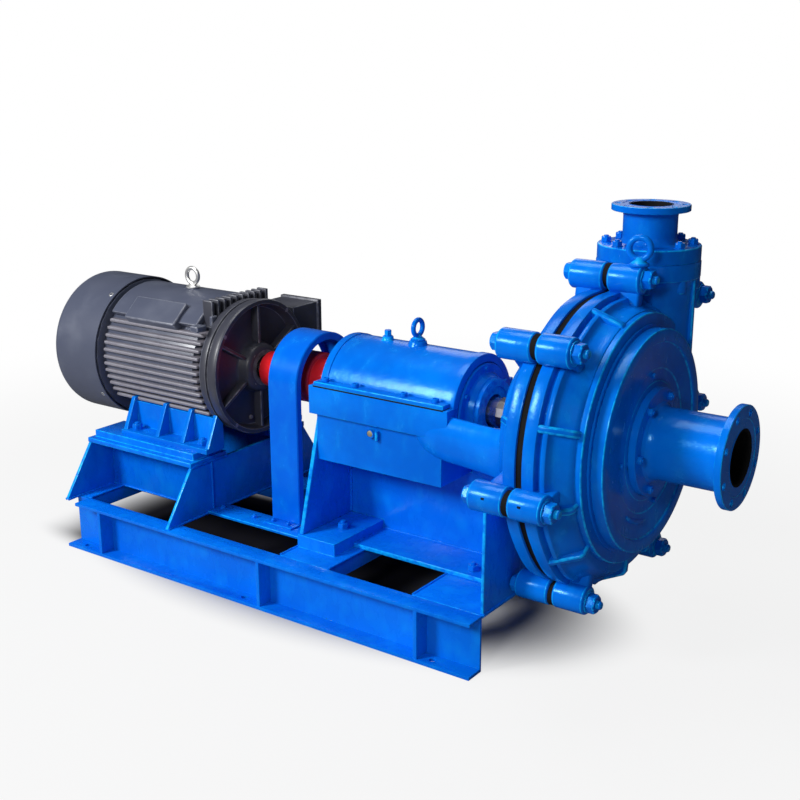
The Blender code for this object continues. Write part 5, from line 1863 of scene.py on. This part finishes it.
    def assemble(
        self,
        name: str,
        node: str,
        parts: list[Piece],
        boss: Point,
        web: Point,
        strip: Point,
    ) -> None:
        """Add bosses, webs, neck and strip to a half and dress it.

        Args:
            name: the piece's name.
            node: the CAD node that it stands for.
            parts: its skin and ribs.
            boss: the ends of its bosses along X.
            web: the ends of their webs.
            strip: the ends of the outlet's flat side.
        """
        for spot in self.boss_places():
            parts.append(self.lobe(spot, *boss))
            parts.append(self.web(spot, *web))
        parts.append(self.neck(node == "casing_front"))
        side = bench.plate("strip", self.strip, Axis.X, *strip)
        parts.append(bench.eased(side, 0.004, 3))
        self.dress(bench.joined(name, parts), Finish.CAST_BLUE, node, sharp=30)

    def front_half(self) -> None:
        """The half toward the suction with its sloped panel, ribs and lugs."""
        start = self.split + self.seam
        parts = [self.around((*self.lip(start, 1), *self.front_skin), "skin")]
        parts += self.ribs(
            self.front_ribs,
            lambda drum: [
                (start + 0.020, 0.320), (start + 0.020, drum - 0.006),
                (start + 0.030, drum - 0.0015), (start + 0.040, drum - 0.002),
                (1.078, max(0.356, drum - 0.038)), (1.086, max(0.350, drum - 0.050)),
                (1.089, 0.335),
            ],
        )
        boss = (start - self.boss_overlap, self.boss_ends[1])
        web, strip = (start + 0.002, self.web_ends[1]), (start, self.strip_ends[1])
        self.assemble("casing_front_half", "casing_front", parts, boss, web, strip)

    def rear_half(self) -> None:
        """The half toward the bearing with its stepped back."""
        start = self.split - self.seam
        parts = [self.around((*self.lip(start, -1), *self.rear_skin), "skin")]
        parts += self.ribs(
            self.rear_ribs,
            lambda drum: [
                (start - 0.020, 0.250), (start - 0.020, drum - 0.006),
                (start - 0.030, drum - 0.0015), (start - 0.040, drum - 0.006),
                (0.850, drum - 0.086), (0.834, drum - 0.104), (0.834, 0.250),
            ],
        )
        boss = (self.boss_ends[0], start + self.boss_overlap)
        web, strip = (self.web_ends[0], start - 0.002), (self.strip_ends[0], start)
        self.assemble("casing_rear_half", "casing_rear", parts, boss, web, strip)

    def neck(self, front: bool) -> Piece:
        """Make half of the outlet's tapered neck and of its flange.

        Args:
            front: whether it is the half in front of the split.

        Returns:
            The half, cut off at the seam.
        """
        x, y = self.outlet
        half, low, high = self.neck_rib
        parts = [bench.turned("neck", self.neck_profile, Axis.Z, self.outlet, 120)]
        rib = bench.block("rib", (x - half, -0.007, low), (x + half, 0.007, high), 0.004, 3)
        rib.data.transform(Matrix.Translation((0, y, 0)))
        parts.append(rib)
        for angle in turn(8, EIGHTH):
            spot = polar(self.column_circle, angle, self.outlet)
            parts.append(bench.turned("column", self.column, Axis.Z, spot, 32))
        seam = self.split + (self.seam if front else -self.seam)
        cut = {"plane_co": (seam, 0, 0), "plane_no": (1, 0, 0), "use_fill": True}
        cut |= {"clear_inner": front, "clear_outer": not front}
        neck = bench.joined("neck", parts)
        return bench.edited(neck, lambda: bpy.ops.mesh.bisect(**cut), bench.outward)

    def gasket(self) -> None:
        """The dark edge of the liner between the halves, with dark discs of painted shade in the
        gaps between the bosses' halves and two dark patches of painted shade for holes on the third
        boss.
        """
        half = self.seam + 0.0005
        low, high = self.split - half, self.split + half
        inset, inside = self.liner_inset, self.liner_inside
        stations = ((low, -1, inside), (low, inset, 0.0), (high, inset, 0.0), (high, -1, inside))
        x, y = self.outlet
        wide, (foot, head) = self.column_circle, self.leaf_rise
        corners = [(y - wide, foot), (y + wide, foot), (y + wide, head), (y - wide, head)]
        leaf = bench.plate("leaf", corners, Axis.X, low, high)
        bench.cut(leaf, [bench.drill(Axis.Z, 0.9, self.outlet, 0.085, 0.4)])
        parts = [self.around(stations, "liner"), leaf]
        # Painted shade: two dark patches on the third boss stand for holes.
        y, z = self.boss_places()[2]
        for at in self.painted_hole_spots:
            near, far = (at - 0.005, y - 0.0354, z + 0.004), (at + 0.005, y - 0.0320, z + 0.013)
            parts.append(bench.block("painted_hole", near, far, 0.0006, 1))
        # Painted shade: a dark disc in each gap between a boss's halves.
        tab = [(low, 0.0), (low, self.tab_radius), (high, self.tab_radius), (high, 0.0)]
        parts += [bench.turned("tab", tab, Axis.X, spot, 40) for spot in self.boss_places()]
        self.dress(bench.joined("liner_edge", parts), Finish.RUBBER)

    def studs(self) -> None:
        """The clamping bolts and the lifting eye."""
        low, high = self.boss_ends
        for index, spot in enumerate(self.boss_places(), 1):
            shank = bench.turned("shank", self.stud, Axis.X, spot, 32)
            front = bench.settled(hardware.nut(0.048, 0.0235), Axis.X.facing((high, *spot)))
            behind = Axis.X.facing((low - 0.0001, *spot), -1)
            back = bench.settled(hardware.nut(0.044, 0.0185), behind)
            stud = bench.joined(f"casing_stud_{index}", [shank, front, back])
            self.dress(stud, Finish.CAST_BLUE, f"casing_bolt_{index}", sharp=30)
        y, z = self.boss_places()[0]
        twist = Matrix.Rotation(math.radians(12), 4, "Z")
        place = [Axis.Z.facing((1.039, y, z + 0.034)) @ twist]
        eye = hardware.eye(0.029, 0.009, 0.014)
        self.fasten(
            "casing_lifting_eye", eye, place, Finish.CAST_BLUE, "casing_eye_bolt", edges=True
        )


@dataclass
class WetEnd(Assembly):
    """The cover plate with the suction branch, and the discharge branch on the outlet."""

    plate: Profile = (
        (1.1050, 0.0925), (1.1050, 0.304), (1.107, 0.306), (1.1345, 0.306), (1.1372, 0.3050),
        (1.1380, 0.3025), (1.1380, 0.2765), (1.1370, 0.2735), (1.1345, 0.2715), (1.1318, 0.2705),
        (1.1310, 0.268), (1.1310, 0.2010), (1.1300, 0.1990), (1.1290, 0.1970), (1.1290, 0.1700),
        (1.1300, 0.1650), (1.1310, 0.1630), (1.1310, 0.0925),
    )
    seat: Profile = ((1.0985, 0.200), (1.0985, 0.3150), (1.1048, 0.3150), (1.1048, 0.200))
    arc_at: Point = (1.1300, 0.222)
    arc_degrees: Point = (232, 34)
    arc_steps: int = 24
    cover_circle: Point = (1.1290, 0.1845)
    cover_screws: Place = (93, 186, 282)
    suction: Profile = (
        (1.1313, 0.0735), (1.1313, 0.148), (1.1330, 0.150), (1.1495, 0.150), (1.1520, 0.1480),
        (1.1523, 0.112), (1.158, 0.104), (1.168, 0.1000), (1.182, 0.0995), (1.338, 0.0995),
        (1.350, 0.1010), (1.357, 0.1060), (1.3600, 0.1110), (1.3600, 0.1380), (1.3615, 0.1400),
        (1.3782, 0.1400), (1.3797, 0.1385), (1.3797, 0.1045), (1.3785, 0.1030), (1.3785, 0.0790),
        (1.3797, 0.0775), (1.3797, 0.0760), (1.3780, 0.0735),
    )
    suction_lining: Profile = (
        (1.1320, 0.0700), (1.1320, 0.0745), (1.3785, 0.0745), (1.3796, 0.0780), (1.3799, 0.0770),
        (1.3790, 0.0715), (1.3770, 0.0700),
    )
    suction_holes: tuple[float, ...] = (1.370, 0.120, 0.011, 0.0125)
    collar_circle: Point = (1.1523, 0.1290)
    outlet: Point = (0.980, 0.258)
    discharge: Profile = (
        (1.0833, 0.058), (1.0833, 0.143), (1.085, 0.145), (1.121, 0.145), (1.1235, 0.1435),
        (1.1240, 0.1410), (1.1240, 0.092), (1.128, 0.0830), (1.136, 0.0775), (1.148, 0.0760),
        (1.202, 0.0760), (1.211, 0.0775), (1.2155, 0.0820), (1.2170, 0.0870), (1.2170, 0.1082),
        (1.2185, 0.1100), (1.2332, 0.1100), (1.2347, 0.1085), (1.2347, 0.0800), (1.2337, 0.0790),
        (1.2337, 0.0620), (1.2347, 0.0610), (1.2347, 0.0595), (1.2335, 0.058),
    )
    discharge_lining: Profile = (
        (1.0840, 0.0550), (1.0840, 0.0590), (1.2335, 0.0590), (1.2346, 0.0620), (1.2349, 0.0610),
        (1.2340, 0.0560), (1.2320, 0.0550),
    )
    discharge_holes: tuple[float, ...] = (1.226, 0.092, 0.009, 0.0115)
    joint_circle: Point = (1.1240, 0.1200)

    def build(self) -> None:
        """Make the cover and both branches."""
        self.cover()
        self.branch("suction", Axis.X, AXLE, self.suction, self.suction_lining, self.suction_holes)
        places = on_circle(Axis.X, *self.collar_circle, turn(6, math.radians(66)))
        self.fasten("suction_collar_nuts", hardware.nut(0.020, 0.0110, 0.003), places)
        outlet, holes = self.outlet, self.discharge_holes
        self.branch("discharge", Axis.Z, outlet, self.discharge, self.discharge_lining, holes)
        places = on_circle(Axis.Z, *self.joint_circle, turn(8, EIGHTH), outlet)
        self.fasten("joint_flange_nuts", hardware.nut(0.026, 0.0140, 0.004), places)

    def cover(self) -> None:
        """The dished cover with its seat, curved rib and screws."""
        plate = bench.turned("plate", self.plate, steps=144)
        seat = bench.turned("seat", self.seat, steps=144)
        x, radius = self.arc_at
        start, sweep = self.arc_degrees
        rings = []
        for index in range(self.arc_steps + 1):
            angle = math.radians(start + sweep * index / self.arc_steps)
            size = 0.0035 + 0.0045 * math.sin(math.pi * index / self.arc_steps) ** 0.6
            centre = Vector((x, *polar(radius, angle)))
            out = Vector((0.0, math.cos(angle), math.sin(angle)))
            spokes = [out * math.cos(a) + Vector((math.sin(a), 0, 0)) for a in turn(12)]
            rings.append([tuple(centre + spoke * size) for spoke in spokes])
        arc = bench.lofted("arc", rings)
        piece = bench.joined("suction_cover", [plate, seat, arc])
        self.dress(piece, Finish.CAST_BLUE, "cover_plate", sharp=28)
        places = on_circle(Axis.X, *self.cover_circle, map(math.radians, self.cover_screws))
        self.fasten("suction_cover_screws", hardware.nut(0.013, 0.0070), places)

    def branch(
        self,
        side: str,
        axis: Axis,
        centre: Point,
        profile: Profile,
        lining: Profile,
        holes: Sequence[float],
    ) -> None:
        """Make a branch with its drilled flange, and its lining.

        Args:
            side: which branch it is.
            axis: the axis that it runs along.
            centre: where that axis passes.
            profile: the branch's profile.
            lining: the lining's profile.
            holes: place along the axis, circle's radius, radius and depth of the flange's holes.
        """
        along, circle, radius, depth = holes
        pipe = bench.turned(f"{side}_branch", profile, axis, centre, 128)
        spots = [polar(circle, angle, centre) for angle in turn(8, EIGHTH)]
        bench.cut(pipe, [bench.drill(axis, along, spot, radius, depth) for spot in spots])
        self.dress(pipe, Finish.CAST_BLUE, f"{side}_pipe", sharp=28)
        liner = bench.turned(f"{side}_lining", lining, axis, centre)
        self.dress(liner, Finish.RUBBER, sharp=28)


# Studio


@dataclass
class Studio:
    """The pale floor, soft lights and camera."""

    location: Place = (2.39476047, -2.93991693, 1.65655859)
    turn: Place = (73.87060785, 0.17426398, 35.41959406)
    lens: float = 54.94426722
    sensor: float = 36.0
    horizon: float = 60.0
    near: float = 1.5
    far: float = 3.6
    lift: float = 0.86
    oval: Place = (1.0, 2.05, 0.0)
    oval_fade: Point = (0.74, 1.16)
    # The painted shadow under the base: its centre's offset, half size, fade and tone.
    shadow_patch_shift: Place = (0.25, 0.0, 0.0)
    shadow_patch_half: Place = (0.55, 0.30, 0.0)
    shadow_patch_fade: Place = (3.3, 8.0, 0.0)
    shadow_patch_tone: Colour = (0.012, 0.012, 0.016)
    tone: Colour = (0.46, 0.46, 0.46)
    # How much darker the floor is to reflection rays, as painted shade on faces that mirror it.
    glossy: float = 0.7
    sky: Colour = (0.78, 0.85, 0.95)
    sky_strength: float = 0.065
    aim: Place = (0.1, 0.0, 0.55)
    lamps: tuple[tuple[str, Place, float, float], ...] = (
        ("key", (-2.6, -4.9, 3.6), 1.5, 352.0),
        ("strip", (1.6, -5.4, 3.3), 1.0, 96.0),
        ("fill", (4.6, -2.6, 2.2), 1.2, 3.0),
        ("top", (-0.6, 0.0, 5.2), 2.2, 88.0),
        ("back", (-1.9, 4.6, 3.2), 2.4, 26.0),
    )

    def build(self) -> None:
        """Set up everything round the object."""
        self.camera()
        self.floor()
        self.world()
        for lamp in self.lamps:
            self.lamp(*lamp)
        bpy.context.scene.view_settings.view_transform = "Standard"

    def camera(self) -> None:
        """The camera at the photograph's viewing angle."""
        data = bpy.data.cameras.new("camera")
        data.lens = self.lens
        data.sensor_width = self.sensor
        data.clip_end = self.horizon
        camera = bpy.data.objects.new("camera", data)
        camera.location = self.location
        camera.rotation_euler = [math.radians(part) for part in self.turn]
        bpy.context.collection.objects.link(camera)
        bpy.context.scene.camera = camera

    def floor(self) -> None:
        """A pale floor that keeps the shadow, has a painted shadow under the base, is darker to
        reflection rays and turns white far away.
        """
        bench.only()
        bpy.ops.mesh.primitive_plane_add(size=self.horizon)
        floor = bench.made("floor")
        graph = Graph(bpy.data.materials.new("floor"))
        where = graph.node("ShaderNodeTexCoord", output="Object")
        beyond = graph.ramp(graph.length(where), self.near, self.far)
        under = graph.length(graph.vector("MULTIPLY", where, self.oval))
        beside = graph.ramp(under, *self.oval_fade)
        edge = beside * self.lift + beyond * (1.0 - self.lift)
        # Painted shadow: a near-black patch under the base, fading past its edges; the white lift
        # is held back there too.
        shadow_patch = graph.vector("ABSOLUTE", graph.vector("ADD", where, self.shadow_patch_shift))
        past = graph.vector("MAXIMUM", graph.vector("SUBTRACT", shadow_patch, self.shadow_patch_half), (0, 0, 0))
        clear = graph.ramp(graph.length(graph.vector("MULTIPLY", past, self.shadow_patch_fade)), 0.0, 1.0)
        tone = graph.blend(clear, self.shadow_patch_tone, self.tone)
        # Painted shade: the floor turns darker to reflection rays, so faces that mirror it read
        # darker.
        glossy = graph.node("ShaderNodeLightPath", output="Is Glossy Ray")
        tone = graph.blend(glossy * self.glossy, tone, (0.0, 0.0, 0.0))
        paper = graph.node("ShaderNodeBsdfDiffuse", {}, {"Color": tone})
        white = graph.node("ShaderNodeEmission", {}, {"Color": (1.0, 1.0, 1.0), "Strength": 1.0})
        rays = graph.node("ShaderNodeLightPath", output="Is Camera Ray")
        mixed = graph.node("ShaderNodeMixShader", {}, {0: edge * rays * clear, 1: paper, 2: white})
        graph.node("ShaderNodeOutputMaterial", {}, {"Surface": mixed})
        floor.data.materials.append(graph.owner)

    def world(self) -> None:
        """Soft surrounding light, white to the camera."""
        graph = Graph(bpy.data.worlds.new("studio"))
        seen = graph.node("ShaderNodeLightPath", output="Is Camera Ray")
        through = graph.node("ShaderNodeLightPath", output="Is Transmission Ray")
        soft = {"Color": self.sky, "Strength": self.sky_strength}
        white = {"Color": (1.0, 1.0, 1.0), "Strength": 1.0}
        mix = {0: seen.maximum(through)}
        for index, inputs in enumerate((soft, white), 1):
            mix[index] = graph.node("ShaderNodeBackground", {}, inputs)
        mixed = graph.node("ShaderNodeMixShader", {}, mix)
        graph.node("ShaderNodeOutputWorld", {}, {"Surface": mixed})
        bpy.context.scene.world = graph.owner

    def lamp(self, name: str, at: Place, size: float, power: float) -> None:
        """Add a soft square lamp aimed at the pump's middle.

        Args:
            name: its name.
            at: where it hangs.
            size: its side.
            power: its power in watts.
        """
        data = bpy.data.lights.new(name, "AREA")
        data.size = size
        data.energy = power
        lamp = bpy.data.objects.new(name, data)
        lamp.location = at
        lamp.rotation_euler = (Vector(self.aim) - Vector(at)).to_track_quat("-Z", "Y").to_euler()
        bpy.context.collection.objects.link(lamp)


def main() -> None:
    """Load the frame and build every sub-assembly in order."""
    logging.basicConfig(level=logging.INFO, format="%(name)s: %(message)s")
    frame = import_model()
    nodes_of_frame.update(frame["nodes"])
    kinds = (WeldedBase, Motor, Coupling, Pedestal, BearingAssembly, Casing, WetEnd, Studio)
    for kind in kinds:
        log.info("building %s", kind.__name__)
        kind().build()


if __name__ == "__main__":
    main()
